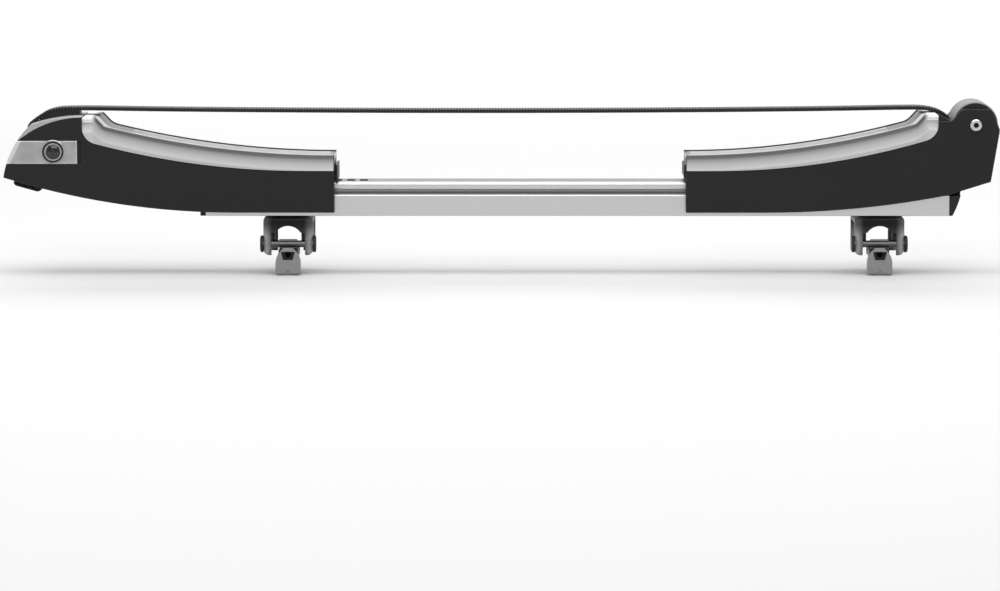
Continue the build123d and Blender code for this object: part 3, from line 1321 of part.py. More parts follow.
def jaw_pad(x):
    """The rubber grip on top of the jaw."""
    half = TONGUE_WIDTH / 2 - SEAT_PAD
    start = ROD_Y + LINK_BARREL_RADIUS + RUN
    with BuildPart() as grip:
        block((x - half, start, JAW_TOP), (x + half, HOOK_FAR_Y - 2 * HOOK_LIP, JAW_TOP + SEAT_PAD))
    return grip


FOOT_PIECES = {
    "saddle": foot_saddle,
    "seat_pad": seat_pad,
    "tee_bolt": foot_bolt,
    "tee_nut": foot_nut,
    "rod": foot_rod,
    "rod_caps": rod_caps,
    "clamp_link": clamp_link,
    "clamp_jaw": clamp_jaw,
    "jaw_bolt": jaw_bolt,
    "jaw_pad": jaw_pad,
}

for name, x in (("left", -FOOT_SPACING / 2), ("right", FOOT_SPACING / 2)):
    for piece, make in FOOT_PIECES.items():
        save(make(x), f"{name}_foot_{piece}")
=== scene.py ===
"""A roof carrier bar for paddleboards: padded arms on a rail, with a strap, a roller and clamp feet."""

import json
import logging
import math
from dataclasses import dataclass
from enum import Enum
from typing import Any, Sequence, Union

import bpy
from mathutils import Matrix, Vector


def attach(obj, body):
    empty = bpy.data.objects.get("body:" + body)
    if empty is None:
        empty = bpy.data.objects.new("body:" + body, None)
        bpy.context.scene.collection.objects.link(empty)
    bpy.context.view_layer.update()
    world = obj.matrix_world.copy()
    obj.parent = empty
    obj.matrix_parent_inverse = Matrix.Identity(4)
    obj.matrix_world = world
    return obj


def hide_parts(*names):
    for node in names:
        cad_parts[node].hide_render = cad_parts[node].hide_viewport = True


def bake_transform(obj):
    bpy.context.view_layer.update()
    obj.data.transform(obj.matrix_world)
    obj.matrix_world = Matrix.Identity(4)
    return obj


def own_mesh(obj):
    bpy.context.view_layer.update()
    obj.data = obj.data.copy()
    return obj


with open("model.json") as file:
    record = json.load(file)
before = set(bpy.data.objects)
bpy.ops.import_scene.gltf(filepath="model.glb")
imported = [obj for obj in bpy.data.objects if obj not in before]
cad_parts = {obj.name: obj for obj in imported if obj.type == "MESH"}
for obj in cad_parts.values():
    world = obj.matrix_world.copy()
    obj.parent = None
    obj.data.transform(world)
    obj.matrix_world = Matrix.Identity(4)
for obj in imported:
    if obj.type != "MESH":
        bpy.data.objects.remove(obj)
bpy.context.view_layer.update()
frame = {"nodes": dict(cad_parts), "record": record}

log = logging.getLogger("carrier")

MM = 0.001
# Each clamp foot's distance from the carrier's middle, along X.
FOOT_AT = 296.8 * MM
# How gently one tone gives way to the next: hardly at all, and a little.
CRISP = 0.1 * MM
SOFT = 0.2 * MM

Number = Union[int, float]
Colour = tuple[float, float, float]


class Sig:
    """A shader socket that can be used in Python expressions."""

    def __init__(self, graph: "Graph", socket: bpy.types.NodeSocket) -> None:
        """Keep the graph that owns the socket, and the socket."""
        self.graph = graph
        self.socket = socket

    def _math(self, operation: str, first: Any, second: Any = 0.0) -> "Sig":
        """Add a Math node.

        Args:
            operation: the Math node's operation.
            first: its first value, a signal or a number.
            second: its second value, a signal or a number.

        Returns:
            The node's result.
        """
        return self.graph.node("ShaderNodeMath", {"operation": operation}, {0: first, 1: second})

    def __add__(self, other: Any) -> "Sig":
        """Sum."""
        return self._math("ADD", self, other)

    def __sub__(self, other: Any) -> "Sig":
        """Difference."""
        return self._math("SUBTRACT", self, other)

    def __rsub__(self, other: Any) -> "Sig":
        """Difference, reflected."""
        return self._math("SUBTRACT", other, self)

    def __mul__(self, other: Any) -> "Sig":
        """Product."""
        return self._math("MULTIPLY", self, other)

    def __truediv__(self, other: Any) -> "Sig":
        """Quotient."""
        return self._math("DIVIDE", self, other)

    def __neg__(self) -> "Sig":
        """Negative."""
        return self._math("MULTIPLY", self, -1.0)

    def __abs__(self) -> "Sig":
        """Absolute value."""
        return self._math("ABSOLUTE", self)

    def sine(self) -> "Sig":
        """Sine, in radians."""
        return self._math("SINE", self)

    def at_least(self, low: Any) -> "Sig":
        """The larger of this and low."""
        return self._math("MAXIMUM", self, low)

    def at_most(self, high: Any) -> "Sig":
        """The smaller of this and high."""
        return self._math("MINIMUM", self, high)

    def fade(self, start: Number, end: Number) -> "Sig":
        """Rise smoothly from 0 at start to 1 at end.

        Args:
            start: where the rise begins.
            end: where it ends; below start for a fall.

        Returns:
            The share, from 0 to 1.
        """
        settings = {"interpolation_type": "SMOOTHSTEP"}
        values = {"Value": self, "From Min": start, "From Max": end}
        if end < start:
            values = {"Value": -self, "From Min": -start, "From Max": -end}
        return self.graph.node("ShaderNodeMapRange", settings, values)


class Graph:
    """The node tree of one material, round a Principled shader."""

    def __init__(self, name: str) -> None:
        """Start a material with a bare Principled shader.

        Args:
            name: the material's name.
        """
        self.material = bpy.data.materials.new(name)
        self.material.use_nodes = True
        self.tree = self.material.node_tree
        self.tree.nodes.clear()
        self.shader = self.tree.nodes.new("ShaderNodeBsdfPrincipled")
        output = self.tree.nodes.new("ShaderNodeOutputMaterial")
        self.tree.links.new(self.shader.outputs["BSDF"], output.inputs["Surface"])

    def node(
        self,
        kind: str,
        settings: dict[str, Any],
        values: dict[Any, Any],
        output: Union[int, str] = 0,
    ) -> Sig:
        """Add a node.

        Args:
            kind: the node's type.
            settings: attributes of the node, set before its sockets.
            values: numbers, vectors or signals for its sockets.
            output: which of its outputs to return.

        Returns:
            That output as a signal.
        """
        made = self.tree.nodes.new(kind)
        for key, value in settings.items():
            if key == "stops":
                self._set_stops(made.color_ramp, value)
            else:
                setattr(made, key, value)
        for key, value in values.items():
            if isinstance(value, Sig):
                self.tree.links.new(value.socket, made.inputs[key])
            else:
                made.inputs[key].default_value = value
        return Sig(self, made.outputs[output])

    @staticmethod
    def _set_stops(ramp: bpy.types.ColorRamp, stops: Sequence[tuple[float, float]]) -> None:
        """Set a ramp's grey stops.

        Args:
            ramp: the ramp, as a new node has it.
            stops: the place and the grey of each stop, in order.
        """
        ramp.interpolation = "LINEAR"
        while len(ramp.elements) < len(stops):
            ramp.elements.new(1.0)
        for element, (at, grey) in zip(ramp.elements, stops):
            element.position = at
            element.color = (grey, grey, grey, 1.0)

    def feed(self, socket: str, value: Any) -> None:
        """Give the shader a constant or a signal.

        Args:
            socket: the shader's socket.
            value: a number, a colour or a signal.
        """
        if isinstance(value, Sig):
            self.tree.links.new(value.socket, self.shader.inputs[socket])
        else:
            self.shader.inputs[socket].default_value = value

    def place(self) -> Sig:
        """The object's own coordinates."""
        return self.node("ShaderNodeTexCoord", {}, {}, "Object")

    def uv(self) -> Sig:
        """The piece's own surface coordinates."""
        return self.node("ShaderNodeTexCoord", {}, {}, "UV")

    def parts(self, vector: Sig) -> tuple[Sig, Sig, Sig]:
        """Split a vector.

        Args:
            vector: the vector.

        Returns:
            Its three parts.
        """
        first = self.node("ShaderNodeSeparateXYZ", {}, {0: vector})
        made = first.socket.node
        return first, Sig(self, made.outputs[1]), Sig(self, made.outputs[2])

    def scaled(self, vector: Sig, factors: Sequence[Number]) -> Sig:
        """Stretch a vector along each axis."""
        return self.node("ShaderNodeVectorMath", {"operation": "MULTIPLY"}, {0: vector, 1: factors})

    def reach(self, vector: Sig, centre: Sequence[Number]) -> Sig:
        """Distance of a vector from a point."""
        return self.node("ShaderNodeVectorMath", {"operation": "DISTANCE"}, {0: vector, 1: centre}, 1)

    def edges(self, radius: Number) -> Sig:
        """Find the outer and inner edges of a piece.

        Args:
            radius: how far from an edge it is felt, in metres.

        Returns:
            A share that grows towards the edges.
        """
        eased = self.node("ShaderNodeBevel", {"samples": 6}, {"Radius": radius})
        true = self.node("ShaderNodeNewGeometry", {}, {}, "Normal")
        dot = self.node("ShaderNodeVectorMath", {"operation": "DOT_PRODUCT"}, {0: eased, 1: true}, 1)
        return (1.0 - dot).fade(0.0, 0.12)

    def noise(self, vector: Sig, scale: Number, detail: Number = 3.0) -> Sig:
        """A noise pattern from 0 to 1."""
        return self.node("ShaderNodeTexNoise", {}, {"Vector": vector, "Scale": scale, "Detail": detail})

    def mix(self, share: Any, first: Any, second: Any) -> Sig:
        """Mix two colours.

        Args:
            share: how much of the second, a signal or a number.
            first: the first colour, a signal or three numbers.
            second: the second colour, a signal or three numbers.

        Returns:
            The mixed colour.
        """
        ends = [c if isinstance(c, Sig) else (*c, 1.0) for c in (first, second)]
        return self.node("ShaderNodeMix", {"data_type": "RGBA"}, {0: share, 6: ends[0], 7: ends[1]}, 2)

    def bump(self, height: Sig, depth: Number) -> Sig:
        """Raise the surface.

        Args:
            height: the height, in units of depth.
            depth: metres for one unit of height.

        Returns:
            The new normal.
        """
        return self.node("ShaderNodeBump", {}, {"Height": height, "Distance": depth, "Strength": 1.0})


@dataclass(frozen=True)
class Finish:
    """A plain moulded or coated finish, with a fine grain, a slight mottle and painted highlights along its
    edges.
    """

    name: str
    colour: Colour
    roughness: float = 0.5
    metallic: float = 0.0
    specular: float = 0.5
    grain: float = 1400.0
    grain_depth: float = 0.00004
    mottle: float = 0.12
    cloud: float = 14.0
    wear: float = 0.08
    # Painted highlight along the edges: how strong it is, its grey, and how far from an edge it reaches.
    edge_highlight: float = 0.0
    edge_highlight_grey: float = 0.5
    edge_highlight_reach: float = 0.0006

    def shades(self) -> tuple[Colour, Colour]:
        """The darkest and the lightest colour of the mottle."""
        dark = tuple(c * (1 - self.mottle) for c in self.colour)
        light = tuple(min(1.0, c * (1 + self.mottle)) for c in self.colour)
        return dark, light

    def coat(self, graph: Graph) -> Sig:
        """Work out the colour before the edges are rubbed.

        Args:
            graph: the material's graph.

        Returns:
            The colour.
        """
        return graph.mix(graph.noise(graph.place(), self.cloud), *self.shades())

    def relief(self, graph: Graph, speck: Sig) -> Sig:
        """Work out the height of the surface.

        Args:
            graph: the material's graph.
            speck: the finish's fine grain.

        Returns:
            The height, in units of the grain's depth.
        """
        return speck

    def paint(self, graph: Graph) -> None:
        """Lay the finish on a graph.

        Args:
            graph: the material's graph.
        """
        speck = graph.noise(graph.place(), self.grain, 2.0)
        colour = self.coat(graph)
        # Painted highlight: the colour turns towards a pale grey near every edge, as if the edges caught the
        # light.
        if self.edge_highlight:
            grey = (self.edge_highlight_grey, self.edge_highlight_grey, self.edge_highlight_grey)
            colour = graph.mix(graph.edges(self.edge_highlight_reach) * self.edge_highlight, colour, grey)
        graph.feed("Base Color", colour)
        graph.feed("Roughness", (speck - 0.5) * self.wear + self.roughness)
        graph.feed("Normal", graph.bump(self.relief(graph, speck), self.grain_depth))

    def build(self) -> bpy.types.Material:
        """Make the material.

        Returns:
            The finished material.
        """
        graph = Graph(self.name)
        graph.feed("Metallic", self.metallic)
        graph.feed("Specular IOR Level", self.specular)
        self.paint(graph)
        return graph.material


@dataclass(frozen=True)
class DrawnAlloy(Finish):
    """Anodised extrusion: fine lines drawn along X, with painted shade in its side grooves and across its top
    face, and black painted shade inside it, seen through its slots.
    """

    cloud: float = 18.0
    streak: float = 900.0
    ledge: float = 30.6 * MM
    clear: float = 38.6 * MM
    deck: float = 42.9 * MM
    deck_half: float = 18.5 * MM
    hollow_half: float = 16.4 * MM
    hollow_low: float = 18.6 * MM
    groove_shade: Colour = (0.11, 0.11, 0.113)
    deck_shade: Colour = (0.30, 0.30, 0.305)
    hollow_shade: Colour = (0.003, 0.003, 0.003)

    def paint(self, graph: Graph) -> None:
        """Lay the drawn lines on a graph, then painted shade in the side grooves, across the top face and
        inside the rail.
        """
        place = graph.place()
        _, across, up = graph.parts(place)
        lines = graph.noise(graph.scaled(place, (0.004, 1.0, 1.0)), self.streak, 4.0)
        cloud = graph.noise(graph.scaled(place, (0.2, 1.0, 1.0)), self.cloud)
        dark = self.shades()[0]
        drawn = graph.mix(lines * 0.5 + cloud * 0.5, dark, self.colour)
        # Painted shade in the side grooves under the top bar, darker downwards to the ledge.
        above = up.fade(self.ledge, self.ledge + SOFT)
        drawn = graph.mix(above * up.fade(self.clear, self.ledge + 1.0 * MM), drawn, self.groove_shade)
        # Painted shade across the top face, darker than the rest of the rail.
        level = up.fade(self.deck - SOFT, self.deck)
        level = level * abs(across).fade(self.deck_half + 3 * MM, self.deck_half)
        drawn = graph.mix(level, drawn, self.deck_shade)
        # Painted shade: black inside the rail, seen through the slots in its top.
        hidden = abs(across).fade(self.hollow_half + CRISP, self.hollow_half)
        hidden = hidden * up.fade(self.hollow_low, self.hollow_low + SOFT)
        hidden = hidden * up.fade(self.deck + 0.05 * MM, self.deck)
        graph.feed("Base Color", graph.mix(hidden, drawn, self.hollow_shade))
        graph.feed("Roughness", (lines - 0.5) * self.wear + hidden * 0.5 + self.roughness)
        graph.feed("Normal", graph.bump(lines, self.grain_depth))


@dataclass(frozen=True)
class Crown:
    """The top line of a pad: an arc that starts level, then a ramp up to the end block."""

    side: int
    inner: float
    level: float
    radius: float
    crest: tuple[float, float]
    slope: float = math.radians(47.0)

    def depth(self, graph: Graph) -> Sig:
        """How far a point lies below the top line.

        Args:
            graph: the material's graph.

        Returns:
            The depth, in metres.
        """
        place = graph.place()
        along, _, up = graph.parts(place)
        flat = graph.scaled(place, (1.0, 0.0, 1.0))
        arc = graph.reach(flat, (self.inner, 0.0, self.level + self.radius)) - self.radius
        outwards = (along - self.crest[0]) * (self.side * math.sin(self.slope))
        ramp = outwards - (up - self.crest[1]) * math.cos(self.slope)
        return arc.at_least(ramp).at_most(self.crest[1] - up)


@dataclass(frozen=True)
class PadMoulding(Finish):
    """Satin grey moulding with painted light: a painted highlight on its lip, painted shade under it, and
    painted shade on the inner face of its rim.
    """

    cloud: float = 9.0
    rim_inner: float = 32.3 * MM
    # Painted shade on the inner face of the rim and along a thin line at each pad's inner end.
    rim_shade: Colour = (0.045, 0.045, 0.045)
    depth: float = 16.0 * MM
    end_shade_line: float = 0.9 * MM
    crowns: tuple[Crown, Crown] = (
        Crown(-1, -250.0 * MM, 71.0 * MM, 931.4 * MM, (-488.6 * MM, 109.5 * MM)),
        Crown(1, 102.0 * MM, 71.0 * MM, 850.9 * MM, (340.2 * MM, 112.0 * MM)),
    )
    # Painted light by depth below the top line: a highlight on the lip, shade under it, lighter again towards
    # the foot.
    painted_light_tones: tuple[tuple[float, float], ...] = (
        (0.000, 0.6),
        (0.020, 0.4),
        (0.055, 0.08),
        (0.130, 0.075),
        (0.180, 0.1),
        (0.245, 0.165),
        (0.305, 0.26),
        (0.370, 0.31),
        (0.550, 0.36),
        (0.780, 0.385),
        (1.000, 0.4),
    )
    # Painted light on the end blocks: a bright top, then a line of painted shade under it.
    block_painted_light_tones: tuple[tuple[float, float], ...] = (
        (0.00, 0.92),
        (0.36, 0.86),
        (0.40, 0.36),
        (0.48, 0.36),
        (0.62, 0.43),
        (1.00, 0.45),
    )

    def coat(self, graph: Graph) -> Sig:
        """Work out the moulding's painted light and shade from the depth below its top line, with painted
        shade inside its rim.
        """
        place = graph.place()
        along, across, _ = graph.parts(place)
        left, right = (crown.depth(graph) for crown in self.crowns)
        right_side = along.fade(-50.0 * MM, 50.0 * MM)
        below = (left * (1.0 - right_side) + right * right_side) / self.depth
        tone = graph.node("ShaderNodeValToRGB", {"stops": self.painted_light_tones}, {0: below})
        end_tone = graph.node("ShaderNodeValToRGB", {"stops": self.block_painted_light_tones}, {0: below})
        # Painted shade: dark on the inner face of the rim, except on the end blocks, and in a thin line at
        # the inner end.
        rim = abs(across).fade(self.rim_inner, self.rim_inner - SOFT)
        for crown in self.crowns:
            end = ((along - crown.crest[0]) * crown.side).fade(-1.0 * MM, 5.0 * MM)
            tone = graph.mix(end, tone, end_tone)
            rim = rim * (1.0 - end)
            ahead = (along - crown.inner) * crown.side
            rim = rim.at_least(abs(ahead).fade(self.end_shade_line, self.end_shade_line - CRISP))
        tone = graph.mix(graph.noise(place, self.cloud) * self.mottle, tone, self.colour)
        return graph.mix(rim, tone, self.rim_shade)


@dataclass(frozen=True)
class Webbing(Finish):
    """Woven strap: raised picks across it and slanting yarns on its faces, with a painted sheen on the picks
    that is faint on its edge.
    """

    yarn: float = 2.8 * MM
    pick: float = 3.0 * MM
    fuzz: float = 900.0
    edge: float = 12.3 * MM
    edge_shine: float = 0.12
    # The grey of the painted sheen on the raised picks.
    sheen: Colour = (0.30, 0.30, 0.302)

    def paint(self, graph: Graph) -> None:
        """Lay the weave on a graph, by the strap's own surface coordinates."""
        along, across, _ = graph.parts(graph.uv())
        place = graph.place()
        turn = 2 * math.pi / self.yarn
        slant = ((along + across) * turn).sine().at_least(((along - across) * turn).sine()) * 0.5 + 0.5
        picks = ((along * (2 * math.pi / self.pick)).sine() * 0.5 + 0.5) * (slant * 0.5 + 0.5)
        fuzz = graph.noise(place, self.fuzz)
        face = abs(graph.parts(place)[1]).fade(self.edge + 0.4 * MM, self.edge)
        face = face * (1.0 - self.edge_shine) + self.edge_shine
        # Painted sheen: the raised picks turn towards a light grey, much less on the edge faces.
        shine = (picks * picks * fuzz * 2.6).at_most(1.0) * face
        graph.feed("Base Color", graph.mix(shine, self.colour, self.sheen))
        graph.feed("Roughness", (fuzz - 0.5) * self.wear + self.roughness)
        graph.feed("Normal", graph.bump(picks + slant * 0.3 + fuzz * 0.2, self.grain_depth))


@dataclass(frozen=True)
class CastCoat(Finish):
    """Powder-coated casting: an orange-peel skin, with painted shade at its top under the rail and painted
    light towards its cheeks and lower down.
    """

    peel: float = 420.0
    middle: float = 15.0 * MM
    cheek: float = 24.5 * MM
    top: float = 2.0 * MM
    low: float = -16.0 * MM
    # The grey of the painted light on the cheeks and lower down.
    pale: Colour = (0.42, 0.42, 0.424)

    def coat(self, graph: Graph) -> Sig:
        """Work out the coat, with painted light towards the cheeks and lower down, and painted shade at the
        top.
        """
        along, _, up = graph.parts(graph.place())
        # Painted light and shade: black at the top, where the rail shades it, lighter towards the cheeks and
        # lower down.
        down = up.fade(self.top, self.low)
        aside = abs(abs(along) - FOOT_AT).fade(self.middle, self.cheek)
        lit_share = aside * (down * 0.6 + 0.2) + down * 0.10
        return graph.mix(lit_share, super().coat(graph), self.pale)

    def relief(self, graph: Graph, speck: Sig) -> Sig:
        """Work out the height of the orange peel, which hides the grain."""
        return graph.noise(graph.place(), self.peel, 2.0)


@dataclass(frozen=True)
class ButtonCoat(Finish):
    """The release button's cloudy grey coat, with a painted highlight where its side turns round the front.
    """

    cloud: float = 75.0
    tip: tuple[float, float] = (-578.0 * MM, 62.0 * MM)
    lean: float = 0.478
    turn: float = 4.6 * MM
    turn_soft: float = 1.4 * MM
    # The grey of the painted highlight along the front edge.
    pale: Colour = (0.52, 0.52, 0.52)

    def coat(self, graph: Graph) -> Sig:
        """Work out the coat, with a painted highlight along the leaning front edge."""
        along, _, up = graph.parts(graph.place())
        # Painted highlight: lighter in a band behind the leaning front edge.
        behind = along - self.tip[0] - (up - self.tip[1]) * self.lean
        return graph.mix(behind.fade(self.turn, self.turn - self.turn_soft), super().coat(graph), self.pale)


@dataclass(frozen=True)
class LinkCoat(Finish):
    """The clamp links' coat, with black painted shade inside each of their pockets."""

    pocket_shade: Colour = (0.004, 0.004, 0.004)
    pocket_half: float = 7.2 * MM
    pocket_low: float = -35.4 * MM
    pocket_high: float = -26.2 * MM
    front: float = -32.4 * MM
    back: float = -26.0 * MM

    def coat(self, graph: Graph) -> Sig:
        """Work out the coat, with black painted shade in the pockets."""
        along, across, up = graph.parts(graph.place())
        # Painted shade: black inside the pockets.
        beside = abs(abs(along) - FOOT_AT).fade(self.pocket_half, self.pocket_half - CRISP)
        level = up.fade(self.pocket_low, self.pocket_low + SOFT)
        level = level * up.fade(self.pocket_high, self.pocket_high - SOFT)
        deep = across.fade(self.front, self.front + 0.3 * MM) * across.fade(self.back, self.back - CRISP)
        return graph.mix(beside * level * deep, super().coat(graph), self.pocket_shade)


@dataclass(frozen=True)
class RodSteel(Finish):
    """Blackened steel, with black painted shade below the clamp rods."""

    below: float = -23.6 * MM
    shade: Colour = (0.004, 0.004, 0.004)

    def coat(self, graph: Graph) -> Sig:
        """Work out the steel, with black painted shade below the rods."""
        up = graph.parts(graph.place())[2]
        # Painted shade: black below the rods, on the jaw bolts.
        under = up.fade(self.below + 0.4 * MM, self.below)
        return graph.mix(under, super().coat(graph), self.shade)


@dataclass(frozen=True)
class BoltSteel(Finish):
    """Zinc-plated steel, with painted shade inside the socket of the roller's axle."""

    socket_at: tuple[float, float, float] = (391.3 * MM, 0.0, 101.0 * MM)
    socket: float = 2.9 * MM
    face: float = -38.9 * MM
    shade: Colour = (0.02, 0.02, 0.02)

    def coat(self, graph: Graph) -> Sig:
        """Work out the plating, with painted shade in the socket."""
        place = graph.place()
        across = graph.parts(place)[1]
        near = graph.reach(graph.scaled(place, (1.0, 0.0, 1.0)), self.socket_at)
        # Painted shade: dark inside the axle's socket.
        inside = near.fade(self.socket, self.socket - CRISP)
        inside = inside * across.fade(self.face, self.face + CRISP) * across.fade(0.0, -5.0 * MM)
        return graph.mix(inside, super().coat(graph), self.shade)


class Finishes(Enum):
    """The carrier's finishes, by the record's material slot."""

    ANODISED_RAIL = DrawnAlloy(
        "anodised_rail", (0.66, 0.655, 0.665), 0.30, 1.0, grain_depth=0.000008, mottle=0.08
    )
    BLACK_PLATE = Finish("black_plate", (0.0125, 0.012, 0.0123), 0.55, specular=0.2, edge_highlight=0.5, edge_highlight_grey=0.10)
    BLACK_CORE = Finish("black_core", (0.014, 0.014, 0.014), 0.60, specular=0.25)
    BLACK_TRIM = Finish("black_trim", (0.011, 0.011, 0.0112), 0.45, specular=0.30, edge_highlight=0.4, edge_highlight_grey=0.08)
    PAD_SHELL = PadMoulding("pad_shell", (0.45, 0.445, 0.45), 0.42, mottle=0.10, grain_depth=0.00002)
    GRIP_MAT = Finish("grip_mat", (0.45, 0.45, 0.445), 0.20, specular=1.0, mottle=0.06, grain_depth=0.00001)
    NOSE_GREY = Finish(
        "nose_grey", (0.33, 0.325, 0.33), 0.36, mottle=0.06, grain_depth=0.00002, edge_highlight=0.6, edge_highlight_grey=0.62
    )
    BUTTON_GREY = ButtonCoat(
        "button_grey",
        (0.30, 0.295, 0.30),
        0.34,
        mottle=0.30,
        grain_depth=0.00002,
        edge_highlight=0.9,
        edge_highlight_grey=0.8,
        edge_highlight_reach=0.0016,
    )
    BRIGHT_RING = Finish("bright_ring", (0.48, 0.48, 0.49), 0.22, 1.0, mottle=0.05, grain_depth=0.000004)
    LOCK_STEEL = Finish("lock_steel", (0.010, 0.010, 0.0105), 0.08, specular=0.6, grain_depth=0.000002)
    WEBBING = Webbing("webbing", (0.006, 0.006, 0.0062), 0.75, specular=0.25, grain_depth=0.0003)
    ZINC_STEEL = BoltSteel("zinc_steel", (0.72, 0.72, 0.73), 0.24, 1.0, mottle=0.06, grain_depth=0.00001)
    SPRING_STEEL = Finish("spring_steel", (0.45, 0.45, 0.46), 0.3, 1.0, mottle=0.06, grain_depth=0.00001)
    ACETAL = Finish("acetal", (0.72, 0.72, 0.70), 0.35, mottle=0.03, grain_depth=0.00001)
    ROLLER_RUBBER = Finish("roller_rubber", (0.24, 0.235, 0.24), 0.6, mottle=0.12, grain_depth=0.00006)
    CAST_FOOT = CastCoat(
        "cast_foot", (0.004, 0.004, 0.0042), 0.38, specular=0.18, grain_depth=0.00006, edge_highlight=0.35, edge_highlight_grey=0.22
    )
    SEAT_RUBBER = Finish("seat_rubber", (0.012, 0.012, 0.012), 0.8, mottle=0.15, grain_depth=0.00006)
    LINK_GREY = LinkCoat("link_grey", (0.21, 0.21, 0.212), 0.40, grain_depth=0.00006, edge_highlight=0.5, edge_highlight_grey=0.42)
    BLACK_STEEL = RodSteel("black_steel", (0.11, 0.11, 0.113), 0.22, 1.0, mottle=0.1, grain_depth=0.00001)

    @classmethod
    def for_slot(cls, slot: str) -> "Finishes":
        """The finish of a material slot."""
        return cls[slot.upper()]


class Workshop:
    """Dresses the solids and the new pieces, each finish made once."""

    def __init__(self) -> None:
        """Read each solid's slot from the record, with no material made yet."""
        self.slots = {part["node"]: part["material_slot"] for part in frame["record"]["subparts"]}
        self.made: dict[Finishes, bpy.types.Material] = {}

    def material(self, finish: Finishes) -> bpy.types.Material:
        """The material of a finish.

        Args:
            finish: the finish.

        Returns:
            Its material, made on first use.
        """
        if finish not in self.made:
            self.made[finish] = finish.value.build()
        return self.made[finish]

    def dress(self, piece: bpy.types.Object, finish: Finishes) -> None:
        """Give a piece one finish all over.

        Args:
            piece: the object.
            finish: the finish.
        """
        material = self.material(finish)
        if not piece.material_slots:
            piece.data.materials.append(material)
        for place in piece.material_slots:
            place.material = material

    def dress_solid(self, node: str) -> None:
        """Give a solid the finish of its slot.

        Args:
            node: the solid's name.
        """
        slot = self.slots[node]
        self.dress(frame["nodes"][node], Finishes.for_slot(slot))
        log.info("solid %s: %s", node, slot)


class Bench:
    """Hand tools that shape one new piece at a time."""

    TURNED_SIDES = 56

    @staticmethod
    def clear() -> None:
        """Leave nothing selected."""
        bpy.ops.object.select_all(action="DESELECT")

    @staticmethod
    def open() -> None:
        """Go into the new piece with all of it selected."""
        bpy.ops.object.mode_set(mode="EDIT")
        bpy.ops.mesh.select_all(action="SELECT")

    @staticmethod
    def close(name: str, smooth: float) -> bpy.types.Object:
        """Come out of the piece, with its faces outwards and its place in its mesh.

        Args:
            name: the piece's name.
            smooth: the angle up to which its edges look smooth, in degrees.

        Returns:
            The piece.
        """
        bpy.ops.mesh.select_all(action="SELECT")
        bpy.ops.mesh.normals_make_consistent(inside=False)
        bpy.ops.object.mode_set(mode="OBJECT")
        piece = bpy.context.object
        piece.name = name
        bpy.ops.object.transform_apply(location=True, rotation=True, scale=True)
        bpy.ops.object.shade_smooth_by_angle(angle=math.radians(smooth))
        piece.select_set(False)
        return piece

    @classmethod
    def turned(
        cls, name: str, axis: tuple[float, float], rings: Sequence[tuple[float, float]]
    ) -> bpy.types.Object:
        """Turn a closed piece on an axis along Y, from its back to its front.

        Args:
            name: the piece's name.
            axis: where the axis stands, along X and Z, in metres.
            rings: the radius and the place along Y of each ring, in metres.

        Returns:
            The piece.
        """
        radius, depth = rings[0]
        cls.clear()
        bpy.ops.mesh.primitive_circle_add(
            vertices=cls.TURNED_SIDES,
            radius=radius,
            fill_type="NGON",
            location=(axis[0], depth, axis[1]),
            rotation=(math.pi / 2, 0.0, 0.0),
        )
        cls.open()
        for wider, deeper in rings[1:]:
            bpy.ops.mesh.extrude_edges_move(TRANSFORM_OT_translate={"value": (0.0, deeper - depth, 0.0)})
            share = wider / radius
            bpy.ops.transform.resize(value=(share, 1.0, share), center_override=(axis[0], deeper, axis[1]))
            radius, depth = wider, deeper
        bpy.ops.mesh.edge_face_add()
        return cls.close(name, 35.0)

    @classmethod
    def cut(cls, piece: bpy.types.Object, at: Sequence[float], size: Sequence[float]) -> None:
        """Cut a straight-sided slot out of a piece.

        Args:
            piece: the piece.
            at: the slot's middle.
            size: its three sides.
        """
        cls.clear()
        bpy.ops.mesh.primitive_cube_add(size=1.0, location=at)
        cls.open()
        bpy.ops.transform.resize(value=size, center_override=at)
        cutter = cls.close("cutter", 30.0)
        cutting = piece.modifiers.new("slot", "BOOLEAN")
        cutting.object = cutter
        cutting.operation = "DIFFERENCE"
        cls.clear()
        bpy.context.view_layer.objects.active = piece
        piece.select_set(True)
        bpy.ops.object.modifier_apply(modifier=cutting.name)
        piece.select_set(False)
        bpy.data.objects.remove(cutter)

    @classmethod
    def joined(cls, pieces: Sequence[bpy.types.Object], name: str) -> bpy.types.Object:
        """Join pieces into one.

        Args:
            pieces: the pieces.
            name: the name of the whole.

        Returns:
            The whole.
        """
        cls.clear()
        for piece in pieces:
            piece.select_set(True)
        bpy.context.view_layer.objects.active = pieces[0]
        bpy.ops.object.join()
        cls.open()
        return cls.close(name, 40.0)


@dataclass
class SubAssembly:
    """A group of solids that are dressed together."""

    shop: Workshop
    solids: tuple[str, ...]

    def dress(self) -> None:
        """Give each solid its finish."""
        for node in self.solids:
            self.shop.dress_solid(node)

    def finish(self, piece: bpy.types.Object, slot: str, body: str) -> bpy.types.Object:
        """Dress a new piece and set it on its body.

        Args:
            piece: the new piece.
            slot: its material slot in the record.
            body: the body that carries it.

        Returns:
            The piece.
        """
        self.shop.dress(piece, Finishes.for_slot(slot))
        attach(piece, body)
        log.info("piece %s: %s, on %s", piece.name, slot, body)
        return piece

    def build(self) -> None:
        """Dress the solids and add the new pieces."""
        self.dress()


@dataclass
class RailBar(SubAssembly):
    """The alloy rail and the caps on its ends."""

    solids: tuple[str, ...] = ("rail", "rail_cap_left", "rail_cap_right")


